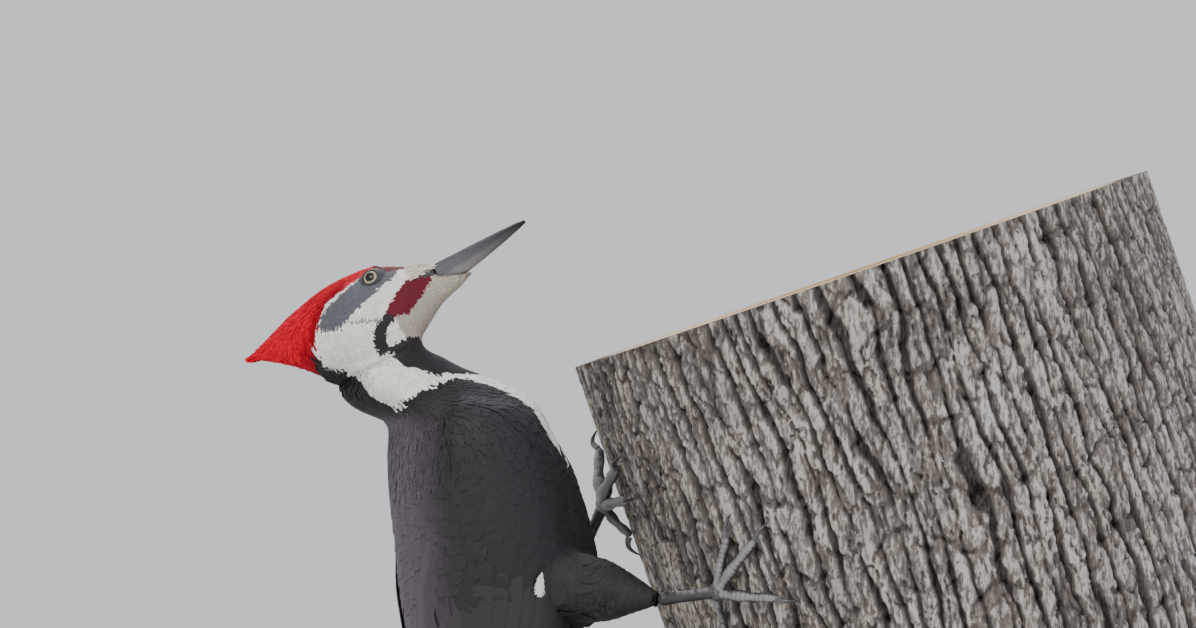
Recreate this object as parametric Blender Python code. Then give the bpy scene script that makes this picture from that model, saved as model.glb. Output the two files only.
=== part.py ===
"""Adult male pileated woodpecker (Dryocopus pileatus), life size, clinging to a short cut length of a
leaning trunk that stands on two rods over a flat base.

World axes: +Z up, the origin under the middle of the base. The trunk leans towards -X and the bird
hangs on that side, its right side towards -Y. Lengths here are in millimetres until a mesh is made.
"""

import math

import bmesh
import bpy
from mathutils import Vector

MM = 0.001
GAP = 0.3  # clear space between pieces that touch

# ---- driving dimensions ----------------------------------------------------------------------------

BODY_AT = Vector((-223, -62, 284))  # middle of the bird's trunk
BODY_YAW = math.radians(20)  # it faces +X, turned this far towards +Y

HEAD_AT = Vector((-269.8, -69, 377.7))  # midway between the eyes
HEAD_YAW = math.radians(-10)
HEAD_PITCH = math.radians(31.6)  # the bill points up by this
HEAD_ROLL = math.radians(22)  # the crown is tilted away from -Y

BILL_LENGTH = 44  # what shows beyond the nasal tufts
TAIL_LENGTH = 112  # what shows beyond the coverts
WING_LENGTH = 232  # bend of the wing to its tip, along the body
TARSUS_RADIUS = 2.6
PALM_RADIUS = 4.3
EYE_RADIUS = 5.2
EYE_OUT = 9.4  # eye's centre from the middle of the head

LOG_RADIUS = 135
LOG_LEAN = math.radians(19)
LOG_MIDDLE = Vector((-22, 0, 284))  # where its axis passes the bird's height
LOG_TOP = 108  # top cut above that point, along the axis
LOG_COLUMNS, LOG_ROWS = 80, 9
FURROW = 4.5  # depth of the furrows between the bark's ridges

BASE_SIZE = Vector((410, 300, 20))
BASE_CORNER = 40
ROD_RADIUS, ROD_HEIGHT, ROD_SPREAD = 7, 35, 80
LOG_BOTTOM = BASE_SIZE.z + ROD_HEIGHT

# ---- frames ----------------------------------------------------------------------------------------

UP = Vector((0, 0, 1))
AHEAD = Vector((math.cos(BODY_YAW), math.sin(BODY_YAW), 0))
RIGHT = AHEAD.cross(UP)

BILL_WAY = Vector((
    math.cos(HEAD_PITCH) * math.cos(HEAD_YAW),
    math.cos(HEAD_PITCH) * math.sin(HEAD_YAW),
    math.sin(HEAD_PITCH),
))
LEVEL = BILL_WAY.cross(UP).normalized()
CROWN_WAY = math.cos(HEAD_ROLL) * LEVEL.cross(BILL_WAY) - math.sin(HEAD_ROLL) * LEVEL
HEAD_RIGHT = BILL_WAY.cross(CROWN_WAY)

LOG_UP = Vector((-math.sin(LOG_LEAN), 0, math.cos(LOG_LEAN)))
LOG_OUT = Vector((-math.cos(LOG_LEAN), 0, -math.sin(LOG_LEAN)))  # from its axis to the bird
LOG_NEAR = Vector((0, -1, 0))


def in_body(ahead, right, up):
    return BODY_AT + ahead * AHEAD + right * RIGHT + up * UP


def in_head(ahead, right, up):
    return HEAD_AT + ahead * BILL_WAY + right * HEAD_RIGHT + up * CROWN_WAY


# ---- making meshes ---------------------------------------------------------------------------------


def material(name, colour, roughness, metallic=0.0):
    made = bpy.data.materials.new(name)
    made.use_nodes = True
    shader = made.node_tree.nodes["Principled BSDF"]
    shader.inputs["Base Color"].default_value = (*colour, 1)
    shader.inputs["Roughness"].default_value = roughness
    shader.inputs["Metallic"].default_value = metallic
    made.diffuse_color = (*colour, 1)
    return made


def new_object(name, mesh, finish):
    made = bpy.data.objects.new(name, mesh)
    mesh.materials.clear()
    mesh.materials.append(finish)
    bpy.context.scene.collection.objects.link(made)
    return made


def mesh_of(points, faces, name="shape"):
    mesh = bpy.data.meshes.new(name)
    mesh.from_pydata([p * MM for p in points], [], faces)
    shell = bmesh.new()
    shell.from_mesh(mesh)
    bmesh.ops.recalc_face_normals(shell, faces=shell.faces)
    shell.to_mesh(mesh)
    shell.free()
    mesh.shade_smooth()
    mesh.set_sharp_from_angle(angle=math.radians(50))
    return mesh


def skin_rings(rings, slab=False):
    """Points and faces of a closed tube through rings of equal count. A slab's ends are strips of quads."""
    count = len(rings[0])
    points = [p for ring in rings for p in ring]
    faces = []
    for start in (0, len(points) - count):
        if slab:
            ends = [(k, k + 1, count - 2 - k, count - 1 - k) for k in range(count // 2 - 1)]
        else:
            ends = [tuple(range(count))]
        faces += [tuple(start + k for k in face) for face in ends]
    for row in range(len(rings) - 1):
        for k in range(count):
            a, b = row * count + k, row * count + (k + 1) % count
            faces.append((a, b, b + count, a + count))
    return points, faces


def loft(name, rings, finish, slab=False):
    return new_object(name, mesh_of(*skin_rings(rings, slab), name), finish)


def hide(cutter):
    cutter.hide_render = True
    cutter.display_type = "WIRE"
    return cutter


def boolean(target, tool, operation="DIFFERENCE"):
    modifier = target.modifiers.new(operation.title() + "_" + tool.name, "BOOLEAN")
    modifier.operation = operation
    modifier.object = tool


def with_modifiers(target):
    graph = bpy.context.evaluated_depsgraph_get()
    return bpy.data.meshes.new_from_object(target.evaluated_get(graph))


def cut_away(mesh, name, planes):
    """A copy of a closed mesh, less what lies in front of each plane, with its cuts filled flat."""
    shell = bmesh.new()
    shell.from_mesh(mesh)
    for point, normal in planes:
        everything = [*shell.verts, *shell.edges, *shell.faces]
        bmesh.ops.bisect_plane(
            shell, geom=everything, dist=1e-7, plane_co=point * MM, plane_no=normal, clear_outer=True
        )
        rim = [edge for edge in shell.edges if edge.is_boundary]
        bmesh.ops.holes_fill(shell, edges=rim, sides=0)
    bmesh.ops.triangulate(shell, faces=[f for f in shell.faces if len(f.verts) > 4])
    bmesh.ops.recalc_face_normals(shell, faces=shell.faces)
    made = bpy.data.meshes.new(name)
    shell.to_mesh(made)
    shell.free()
    return made


# ---- curves through rows of sizes ------------------------------------------------------------------


def between(rows, at):
    """A smooth reading of a table of rows at a place from 0 to its last row (Catmull-Rom)."""
    last = len(rows) - 1
    low = min(int(at), last - 1)
    share = at - low
    before, first, second, after = (rows[min(max(low + k, 0), last)] for k in (-1, 0, 1, 2))
    found = []
    for p, q, r, s in zip(before, first, second, after):
        bend = 2 * p - 5 * q + 4 * r - s
        found.append(
            0.5 * (2 * q + (r - p) * share + bend * share**2 + (3 * (q - r) + s - p) * share**3)
        )
    return found


def steps(rows, each):
    count = (len(rows) - 1) * each
    return [between(rows, k / each) for k in range(count + 1)]


# ---- the trunk and neck: stations down the spine -----------------------------------------------------

# ahead, up, tilt of the section (its front end up), half depth, half width
SPINE = [
    (-47, 66, 30, 18, 16),  # inside the head
    (-48.5, 58.3, 29, 20.4, 18),  # top of the neck
    (-41.3, 53, 30, 22.3, 20),
    (-33, 48.5, 27, 23.5, 22.5),  # base of the neck
    (-21.5, 44, 20, 27.5, 29),
    (-12, 37, 12, 34, 34.5),  # shoulders
    (-9, 26, 8, 37.7, 38),
    (-3.4, 8, 8, 42.7, 39.5),
    (1.4, -14, 9, 45.2, 39.5),  # breast and belly
    (5.4, -38, 12, 46.6, 37.5),
    (7, -60, 18, 41.5, 32.5),
    (15.5, -80, 28, 30, 25),
    (25.5, -97, 42, 18, 18.5),  # root of the tail
    (37, -109.5, 52, 10.5, 15.5),
    (52, -120.5, 54, 5, 14),  # end of the coverts
]
BODY_SIDES = 24


def on_section(stations, at, turn, out=0.0):
    """A point round a section: turn is degrees from the back towards the right side."""
    ahead, up, tilt, depth, width = between(stations, at)
    tilt, turn = math.radians(tilt), math.radians(turn)
    front = math.cos(tilt) * AHEAD + math.sin(tilt) * UP
    round_back = (depth + out) * math.cos(turn) * front
    return in_body(ahead, 0, up) - round_back + (width + out) * math.sin(turn) * RIGHT


def spine_ring(at, out=0.0, sides=BODY_SIDES):
    """Section of the body at a station, grown outwards by out."""
    return [on_section(SPINE, at, 360 * k / sides, out) for k in range(sides)]


# ---- the head ----------------------------------------------------------------------------------------

# ahead, up of the middle, half height, half width, pinch of the upper half
SKULL = [
    (39, -16.6, 0.7, 2.2, 0),  # end of the chin's feathers, under the bill
    (34, -17.2, 2.6, 4.6, 0),
    (28, -14.2, 7.0, 6.6, 0),  # face round the bill
    (20, -11.5, 11.2, 9.8, 0),
    (12, -11.6, 15.2, 13, 0.05),
    (2, -10.6, 21.2, 16, 0.1),  # eyes
    (-10, -9.6, 23.2, 18, 0.15),
    (-22, -8.2, 23.4, 18, 0.25),
    (-34, -6.2, 20.8, 15.5, 0.35),
    (-44, -2.2, 15.2, 11.5, 0.4),  # nape
    (-54, 1.2, 9.2, 7.2, 0.4),
    (-62, 3.6, 4.4, 3.8, 0.3),
    (-68, 5.4, 1.2, 1.4, 0),  # tip of the crest
]
CREST_CUT = (8, 10.2, 26.5)  # a point of its lower side, ahead and up, and its fall to the back in degrees


def skull_ring(ahead, up, high, wide, pinch, sides=20):
    ring = []
    for k in range(sides):
        turn = 2 * math.pi * k / sides
        narrow = 1 - pinch * max(0.0, math.sin(turn))
        ring.append(in_head(ahead, wide * narrow * math.cos(turn), up + high * math.sin(turn)))
    return ring


def ball(name, at, radius, finish):
    mesh = bpy.data.meshes.new(name)
    shell = bmesh.new()
    bmesh.ops.create_uvsphere(shell, u_segments=12, v_segments=8, radius=radius * MM)
    bmesh.ops.translate(shell, verts=shell.verts, vec=at * MM)
    shell.to_mesh(mesh)
    shell.free()
    mesh.shade_smooth()
    return new_object(name, mesh, finish)


def build_head_and_body(finishes):
    """One flesh from bill to coverts, parted with thin cuts into crest, head, neck and trunk."""
    whole = loft("whole", [spine_ring(k / 2) for k in range(2 * (len(SPINE) - 1) + 1)], finishes["black"])
    skull = loft("skull", [skull_ring(*row) for row in steps(SKULL, 2)], finishes["black"])
    boolean(whole, hide(skull), "UNION")
    flesh = with_modifiers(whole)
    hide(whole)

    neck_top, neck_base = between(SPINE, 1.1), between(SPINE, 3)
    cuts = []
    for ahead, up, tilt, *_ in (neck_top, neck_base):
        tilt = math.radians(tilt)
        cuts.append((in_body(ahead, 0, up), math.cos(tilt) * UP - math.sin(tilt) * AHEAD))
    (top, top_way), (base, base_way) = cuts
    ahead, up, fall = CREST_CUT
    fall = math.radians(fall)
    crest = in_head(ahead, 0, up)
    crest_way = math.cos(fall) * CROWN_WAY - math.sin(fall) * BILL_WAY
    half = GAP / 2
    pieces = {
        "trunk": ("black", [(base - half * base_way, base_way)]),
        "neck": ("white", [(base + half * base_way, -base_way), (top - half * top_way, top_way)]),
        "head": ("white", [(top + half * top_way, -top_way), (crest - half * crest_way, crest_way)]),
        "crest": ("red", [(top + half * top_way, -top_way), (crest + half * crest_way, -crest_way)]),
    }
    for name, (colour, planes) in pieces.items():
        mesh = cut_away(flesh, name, planes)
        mesh.shade_smooth()
        mesh.set_sharp_from_angle(angle=math.radians(50))
        new_object(name, mesh, finishes[colour])

    for side, way in (("right", 1), ("left", -1)):
        at = in_head(0, way * EYE_OUT, 0)
        socket = hide(ball("socket_" + side, at, EYE_RADIUS + GAP, finishes["black"]))
        boolean(bpy.data.objects["head"], socket)
        ball("eye_" + side, at, EYE_RADIUS, finishes["eye"])


# ---- the bill ----------------------------------------------------------------------------------------

# share of the length, half width, height of the ridge above the gape line, depth of the keel below it
BILL = [
    (0, 6.4, 6.6, 5.2),
    (0.25, 5.3, 5.4, 4.6),
    (0.5, 4.0, 4.1, 3.6),
    (0.75, 2.7, 2.7, 2.3),
    (0.93, 1.6, 1.5, 1.1),
    (1, 1.1, 0.6, 0.5),
]
BILL_ROOT = (26, -11.4)  # ahead and up in the head, a little inside the face
BILL_RISE = 0.03  # its slope up from the head's own axis
HALF_BILL = [(-1, 0), (-0.92, 0.34), (-0.55, 0.76), (0, 1), (0.55, 0.76), (0.92, 0.34), (1, 0)]


def bill_half(row, way, apart, grown=0.0):
    """Half of a bill section, from the gape line out: way is 1 for the upper mandible, -1 for the lower."""
    share, wide, ridge, keel = row
    ahead = BILL_ROOT[0] - grown + share * BILL_LENGTH
    line = BILL_ROOT[1] + BILL_RISE * share * BILL_LENGTH + way * apart
    tall = (ridge if way > 0 else keel) + grown
    return [in_head(ahead, (wide + grown) * side, line + way * tall * up) for side, up in HALF_BILL]


def build_bill(finishes):
    rows = steps(BILL, 2)
    for name, way in (("bill_upper", 1), ("bill_lower", -1)):
        loft(name, [bill_half(row, way, GAP / 2) for row in rows], finishes["horn"])
    rings = [bill_half(row, 1, 0, 1.5 * GAP) + bill_half(row, -1, 0, 1.5 * GAP)[-2:0:-1] for row in rows]
    boolean(bpy.data.objects["head"], hide(loft("bill_seat", rings, finishes["horn"])))


# ---- the wings ---------------------------------------------------------------------------------------

# ahead, up, tilt, half depth, half width: what the folded wings lie round, straighter than the rump
WING_LINE = [
    *SPINE[3:11],
    (15, -82, 28, 32, 27),
    (27.5, -104, 38, 20.5, 23),
    (44, -121.5, 46, 12, 21),
    (63, -137, 50, 9, 19),
    (83, -152, 52, 7.5, 17),
]

# share of the length, edge towards the back and edge towards the belly in degrees round the body, thickness
WING = [
    (0, 84, 100, 2.5),
    (0.04, 58, 124, 5.5),
    (0.12, 46, 130, 7.5),
    (0.3, 33, 120, 7.5),
    (0.48, 24, 110, 6),
    (0.62, 17, 100, 5),
    (0.74, 13, 88, 4.2),
    (0.86, 11, 70, 3.2),
    (0.95, 11, 48, 2.2),
    (1, 14, 26, 1.4),
]
WING_FROM = 0.8  # station of its upper end on that line
WING_LIFT = 1.4  # clear of the body's smooth surface
WING_SPLIT = 0.6  # beyond this only the primaries show


def wing_station(distance):
    """The station that far down the wing's line."""
    at, before, gone = WING_FROM, between(WING_LINE, WING_FROM), 0.0
    while gone < distance and at < len(WING_LINE) - 1:
        at += 0.01
        here = between(WING_LINE, at)
        gone += math.dist(before[:2], here[:2])
        before = here
    return at


def wing_rings(side, first, last, rows, columns=8, grown=0.0):
    rings = []
    for row in range(rows + 1):
        share = first + (last - first) * row / rows
        place = next(k for k in range(len(WING) - 1) if WING[k + 1][0] >= share)
        part = (share - WING[place][0]) / (WING[place + 1][0] - WING[place][0])
        _, back, belly, thick = between(WING, place + part)
        at = wing_station(share * WING_LENGTH)
        outer, inner = [], []
        for k in range(columns):
            across = k / (columns - 1)
            turn = side * (back - 2 * grown + (belly - back + 4 * grown) * across)
            swell = 0.8 + (thick - 0.8) * math.sin(math.pi * across) ** 0.7
            outer.append(on_section(WING_LINE, at, turn, WING_LIFT + swell + grown))
            inner.append(on_section(WING_LINE, at, turn, WING_LIFT - 3 * grown))
        rings.append(outer + inner[::-1])
    return rings


def build_wings(finishes):
    slit = GAP / WING_LENGTH
    for name, side in (("right", 1), ("left", -1)):
        loft("wing_" + name, wing_rings(side, 0.0, WING_SPLIT, 12), finishes["black"], True)
        loft("primaries_" + name, wing_rings(side, WING_SPLIT + slit, 1.0, 8), finishes["black"], True)


# ---- the tail ----------------------------------------------------------------------------------------

TAIL_PAIRS = 5
TAIL_WIDTH = 46
TAIL_GRADE = 6  # each pair is shorter than the one inside it by this much more
TAIL_FALL = math.radians(36)  # below level at its root
TAIL_BEND = math.radians(18)  # how much steeper its tips are pressed
TAIL_THICK = (5.0, 1.0)
TAIL_ARCH = 3.5  # the outer feathers lie this much nearer the tree


def tail_point(across, along, out):
    """Across is -1 to 1, along is in millimetres from the end of the coverts, out is towards the tree."""
    ahead, up, *_ = SPINE[-1]
    share = along / TAIL_LENGTH
    bend = TAIL_BEND * share * share
    chord, slope = TAIL_FALL + bend / 3, TAIL_FALL + bend
    way = math.cos(chord) * AHEAD - math.sin(chord) * UP
    face = math.sin(slope) * AHEAD + math.cos(slope) * UP
    spread = 0.5 * TAIL_WIDTH * (0.55 + 0.45 * min(1.0, share * 2.2))
    off = out + TAIL_ARCH * across * across
    return in_body(ahead, 0, up) + along * way + across * spread * RIGHT + off * face


def tail_reach(across):
    """How far the tail reaches there: pointed feathers, the middle pair longest."""
    place = abs(across) * TAIL_PAIRS
    pair = min(int(place), TAIL_PAIRS - 1)
    off = abs(place - pair - 0.5) * 2
    return TAIL_LENGTH - TAIL_GRADE * pair * (pair + 1) / 2 - 13 * off**1.6


def build_tail(finishes):
    columns, rows = 6 * TAIL_PAIRS, 4
    rings = []
    for row in range(rows + 1):
        share = row / rows
        thick = TAIL_THICK[0] + (TAIL_THICK[1] - TAIL_THICK[0]) * share**0.6
        top, under = [], []
        for k in range(columns + 1):
            across = 2 * k / columns - 1
            along = 1.5 * GAP + share * (tail_reach(across) - 1.5 * GAP)
            top.append(tail_point(across, along, thick / 2))
            under.append(tail_point(across, along, -thick / 2))
        rings.append(top + under[::-1])
    loft("tail", rings, finishes["black"], True)


# ---- the trunk of the tree ---------------------------------------------------------------------------


def log_axis(height):
    return LOG_MIDDLE + height * LOG_UP


def bark_radius(turn, height):
    """Ridges that wander and split as they climb, standing at the full radius."""
    wander = 0.05 * math.sin(height / 31 + 3 * turn) + 0.03 * math.sin(height / 13 + 7 * turn)
    ridge = 0.5 + 0.5 * math.cos(LOG_COLUMNS / 2 * (turn + wander) + 1.3 * math.sin(height / 9 + 5 * turn))
    return LOG_RADIUS - FURROW * (1 - ridge)


def on_log(turn, height, out=0.0):
    """A point off the log: turn is in radians from the bird's side towards -Y."""
    way = math.cos(turn) * LOG_OUT + math.sin(turn) * LOG_NEAR
    return log_axis(height) + (LOG_RADIUS + out) * way


def build_log(finishes):
    rings = []
    for row in range(LOG_ROWS + 1):
        ring = []
        for k in range(LOG_COLUMNS):
            turn = 2 * math.pi * k / LOG_COLUMNS
            way = math.cos(turn) * LOG_OUT + math.sin(turn) * LOG_NEAR
            low = (LOG_BOTTOM + GAP - LOG_MIDDLE.z - LOG_RADIUS * way.z) / LOG_UP.z
            height = low + (LOG_TOP - low) * row / LOG_ROWS
            point = log_axis(height) + bark_radius(turn, height) * way
            if row == 0:
                point -= LOG_UP * (point.z - LOG_BOTTOM - GAP) / LOG_UP.z
            ring.append(point)
        rings.append(ring)
    loft("perch_log", rings, finishes["bark"])


# ---- legs and feet -----------------------------------------------------------------------------------

HIP = {"right": (8, 17, -34), "left": (6, -17, -30)}  # in the body: ahead, right, up
ANKLE = {"right": (58, 60, -42), "left": (58, -52, -34)}
FOOT = {"right": (math.radians(41), -4, 8.5), "left": (math.radians(4), 46, 8.5)}  # turn, height, out
THIGH = [(0, 18), (0.35, 17.5), (0.65, 14.3), (0.86, 8.2), (1, 4.4)]  # share of the way, radius

TOES = {"inner_front": (20, 2.3), "outer_front": (26, 2.5), "outer_rear": (24, 2.4), "hallux": (13, 2.0)}
TOE_WAYS = {"right": (26, 56, 112, 214), "left": (92, 62, -32, 176)}  # degrees from up the log towards -Y
CLAW = 11.5


def tube(name, path, radii, finish, sides=8):
    """A round limb along points, with its ends flat."""
    rings, side = [], None
    for k, point in enumerate(path):
        way = (path[min(k + 1, len(path) - 1)] - path[max(k - 1, 0)]).normalized()
        side = (side or way.orthogonal()) - way * way.dot(side or way.orthogonal())
        side.normalize()
        other = way.cross(side)
        rings.append([
            point + radii[k] * (math.cos(turn) * side + math.sin(turn) * other)
            for turn in (2 * math.pi * j / sides for j in range(sides))
        ])
    return loft(name, rings, finish)


def along_bark(turn, height, way, distance, out):
    way = math.radians(way)
    return on_log(turn + math.sin(way) * distance / LOG_RADIUS, height + math.cos(way) * distance, out)


def build_thigh(side, hip, ankle, finishes):
    rows = steps(THIGH, 2)
    path = [hip.lerp(ankle, share) for share, _ in rows]
    thigh = tube("thigh_" + side, path, [radius for _, radius in rows], finishes["black"], 14)
    way = 1 if side == "right" else -1
    tuck = loft("tuck_" + side, wing_rings(way, 0.0, 0.8, 16, 8, GAP + 0.2), finishes["black"], True)
    boolean(thigh, hide(tuck))
    belly = loft("belly_" + side, [spine_ring(k / 2, GAP + 0.2) for k in range(8, 25)], finishes["black"])
    boolean(thigh, hide(belly))


def build_claw(name, root, way, first, finishes):
    turn, height, _ = root
    path, radii = [], []
    for share in (0, 0.25, 0.5, 0.75, 1):
        rise = 1.5 + 3.2 * math.sin(math.pi * (0.12 + 0.88 * share)) - 1.1 * share
        path.append(along_bark(turn, height, way, first + CLAW * 0.82 * share, rise + 0.1))
        radii.append(1.35 * (1 - share) ** 0.8 + 0.3)
    tube("claw_" + name, path, radii, finishes["claw"], 6)


def build_foot(side, finishes):
    """The palm with the four toes that arch down from it to the bark, and a hooked claw on each."""
    turn, height, out = FOOT[side]
    foot = ball("foot_" + side, on_log(turn, height, out), PALM_RADIUS, finishes["scute"])
    for way, (name, (length, thick)) in zip(TOE_WAYS[side], TOES.items()):
        rest = 0.65 * thick + GAP + 0.15  # its end's height over the bark
        first = 0.5 * PALM_RADIUS
        reach = 0.5 * PALM_RADIUS + length
        path, radii = [], []
        for share in (0, 0.17, 0.35, 0.55, 0.78, 1):
            arch = out * (1 - share) ** 1.4 + rest * share + 2.2 * math.sin(math.pi * share)
            path.append(along_bark(turn, height, way, first + share * reach, arch))
            knuckle = 1 + 0.12 * math.cos(5 * math.pi * share)
            radii.append(thick * knuckle * (1 - 0.35 * share))
        toe = tube(f"toe_{side}_{name}", path, radii, finishes["scute"], 7)
        boolean(foot, hide(toe), "UNION")
        build_claw(f"{side}_{name}", FOOT[side], way, first + reach + 2 * GAP, finishes)


def build_leg(side, finishes):
    hip, ankle = in_body(*HIP[side]), in_body(*ANKLE[side])
    foot = on_log(*FOOT[side])
    build_thigh(side, hip, ankle, finishes)

    length = (foot - ankle).length
    end = 1 - (PALM_RADIUS + GAP) / length
    path = [ankle.lerp(foot, share) for share in (-0.04, 0.1, 0.25, 0.75, end)]
    radii = [TARSUS_RADIUS * k for k in (1.15, 1.4, 1.0, 0.95, 1.2)]
    tube("tarsus_" + side, path, radii, finishes["scute"], 8)
    path[0] = ankle.lerp(foot, -0.04 - GAP / length)
    cuff = tube("cuff_" + side, path[:3], [radius + GAP for radius in radii[:3]], finishes["scute"], 8)
    boolean(bpy.data.objects["thigh_" + side], hide(cuff))
    build_foot(side, finishes)


# ---- the stand ---------------------------------------------------------------------------------------


def build_stand(finishes):
    mesh = bpy.data.meshes.new("stand_base")
    shell = bmesh.new()
    half = BASE_SIZE / 2
    outline = []
    for corner in range(4):
        middle = Vector((
            (half.x - BASE_CORNER) * (1 if corner in (0, 3) else -1),
            (half.y - BASE_CORNER) * (1 if corner < 2 else -1),
        ))
        for k in range(7):
            turn = math.radians(90 * corner + 15 * k)
            outline.append(middle + BASE_CORNER * Vector((math.cos(turn), math.sin(turn))))
    floor = shell.faces.new([shell.verts.new((p.x * MM, p.y * MM, 0)) for p in outline])
    raised = bmesh.ops.extrude_face_region(shell, geom=[floor])["geom"]
    upper = [v for v in raised if isinstance(v, bmesh.types.BMVert)]
    bmesh.ops.translate(shell, verts=upper, vec=(0, 0, BASE_SIZE.z * MM))
    bmesh.ops.recalc_face_normals(shell, faces=shell.faces)
    shell.to_mesh(mesh)
    shell.free()
    base = new_object("stand_base", mesh, finishes["stand_wood"])
    edge = base.modifiers.new("eased_edge", "BEVEL")
    edge.width = 2.5 * MM
    edge.segments = 2
    edge.limit_method = "ANGLE"

    foot = log_axis((LOG_BOTTOM - LOG_MIDDLE.z) / LOG_UP.z)
    for name, way in (("left", -1), ("right", 1)):
        low, high = BASE_SIZE.z + GAP, LOG_BOTTOM
        path = [Vector((foot.x + way * ROD_SPREAD, 0, z)) for z in (low, high)]
        tube("stand_rod_" + name, path, [ROD_RADIUS] * 2, finishes["rod_metal"], 20)


# ---- the whole ---------------------------------------------------------------------------------------


def main():
    for old in list(bpy.data.objects):
        bpy.data.objects.remove(old)
    finishes = {
        "black": material("black_plumage", (0.018, 0.017, 0.02), 0.5),
        "white": material("white_plumage", (0.72, 0.71, 0.68), 0.7),
        "red": material("red_plumage", (0.6, 0.015, 0.02), 0.5),
        "horn": material("bill_horn", (0.16, 0.16, 0.17), 0.35),
        "eye": material("eye_yellow", (0.75, 0.62, 0.3), 0.1),
        "scute": material("grey_scutes", (0.25, 0.26, 0.28), 0.5),
        "claw": material("claw_horn", (0.1, 0.1, 0.11), 0.35),
        "bark": material("grey_bark", (0.26, 0.22, 0.19), 0.95),
        "stand_wood": material("stand_wood", (0.05, 0.03, 0.02), 0.4),
        "rod_metal": material("rod_steel", (0.55, 0.55, 0.55), 0.35, 1.0),
    }
    build_head_and_body(finishes)
    build_bill(finishes)
    build_wings(finishes)
    build_tail(finishes)
    build_log(finishes)
    for side in ("right", "left"):
        build_leg(side, finishes)
    build_stand(finishes)


main()
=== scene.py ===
"""Adult male pileated woodpecker, life size, clinging to a cut length of leaning trunk that two steel
rods hold over a wooden base. Runs top to bottom, in the order the object is put together."""

import math

import bpy
import numpy as np
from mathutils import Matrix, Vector
from mathutils.bvhtree import BVHTree
from mathutils.kdtree import KDTree


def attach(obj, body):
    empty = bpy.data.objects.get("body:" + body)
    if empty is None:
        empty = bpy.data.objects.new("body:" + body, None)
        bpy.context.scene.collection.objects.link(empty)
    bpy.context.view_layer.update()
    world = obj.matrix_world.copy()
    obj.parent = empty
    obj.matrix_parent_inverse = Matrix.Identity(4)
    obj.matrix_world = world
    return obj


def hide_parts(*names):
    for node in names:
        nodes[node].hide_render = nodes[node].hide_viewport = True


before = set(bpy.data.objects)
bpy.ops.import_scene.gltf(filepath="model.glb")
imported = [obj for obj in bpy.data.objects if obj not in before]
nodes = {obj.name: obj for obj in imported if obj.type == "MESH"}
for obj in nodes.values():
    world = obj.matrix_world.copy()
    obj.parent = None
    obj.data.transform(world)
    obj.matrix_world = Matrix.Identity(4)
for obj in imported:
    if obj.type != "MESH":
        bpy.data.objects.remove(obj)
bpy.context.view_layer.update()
MM = 0.001

# ---- Display base ------------------------------------------------------------------------------------
# A flat board with rounded corners and eased edges, cut from walnut, sanded and brushed with satin
# varnish. It only holds the length of trunk up and is screwed to both rods from below.


def hex_colour(code):
    """An sRGB hex colour as linear red, green, blue and alpha."""
    parts = [int(code[k : k + 2], 16) / 255 for k in (1, 3, 5)]
    return (*(c / 12.92 if c <= 0.04045 else ((c + 0.055) / 1.055) ** 2.4 for c in parts), 1.0)


def add(tree, kind, sockets=None, out=0, into=None, stops=(), **settings):
    """Adds one node and gives one of its outputs. A socket's value is a constant or another node's output,
    stops fill a colour ramp, and into names the surface's own socket that the output goes to."""
    made = tree.nodes.new("ShaderNode" + kind)
    for name, value in settings.items():
        setattr(made, name, value)
    for name, value in (sockets or {}).items():
        if isinstance(value, bpy.types.NodeSocket):
            tree.links.new(value, made.inputs[name])
        else:
            made.inputs[name].default_value = value
    for k, (place, colour) in enumerate(stops):
        stop = made.color_ramp.elements[k] if k < 2 else made.color_ramp.elements.new(place)
        stop.position, stop.color = place, hex_colour(colour)
    if into:
        tree.links.new(made.outputs[out], tree.nodes["Principled BSDF"].inputs[into])
    return made.outputs[out]


def new_finish(name, **surface):
    """A material and its tree; surface sets its shader's own sockets."""
    made = bpy.data.materials.new(name)
    made.use_nodes = True
    shader = made.node_tree.nodes["Principled BSDF"]
    for socket, value in surface.items():
        shader.inputs[socket.replace("_", " ")].default_value = value
    return made, made.node_tree


# Varnished walnut: grain lines 3 mm apart and 90 mm long, pores, a satin varnish coat.
walnut, tree = new_finish(
    "satin_varnished_walnut", Roughness=0.42, IOR=1.5, Coat_Weight=0.35, Coat_Roughness=0.22
)
place = add(tree, "TexCoord", out="Object")
along = add(tree, "Mapping", {"Vector": place, "Scale": (11, 330, 330)})
grain = add(tree, "TexNoise", {"Vector": along, "Scale": 1, "Detail": 6, "Distortion": 0.6})
rings = add(tree, "Mapping", {"Vector": place, "Scale": (2.5, 60, 60)})
figure = add(tree, "TexNoise", {"Vector": rings, "Scale": 1, "Detail": 3, "Distortion": 1.2})
both = add(tree, "Mix", {0: 0.45, 2: grain, 3: figure})
add(
    tree, "ValToRGB", {"Fac": both},
    stops=((0.3, "#2a1a11"), (0.7, "#6a452b"), (0.5, "#472c1b")), into="Base Color",
)
add(tree, "Bump", {"Height": grain, "Strength": 0.12, "Distance": 0.0004}, into="Normal")
nodes["stand_base"].material_slots[0].material = walnut

# ---- Rods --------------------------------------------------------------------------------------------
# Two short lengths of 14 mm bright steel bar, turned and left brushed, pressed into the base and into
# holes in the trunk's lower cut.

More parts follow.
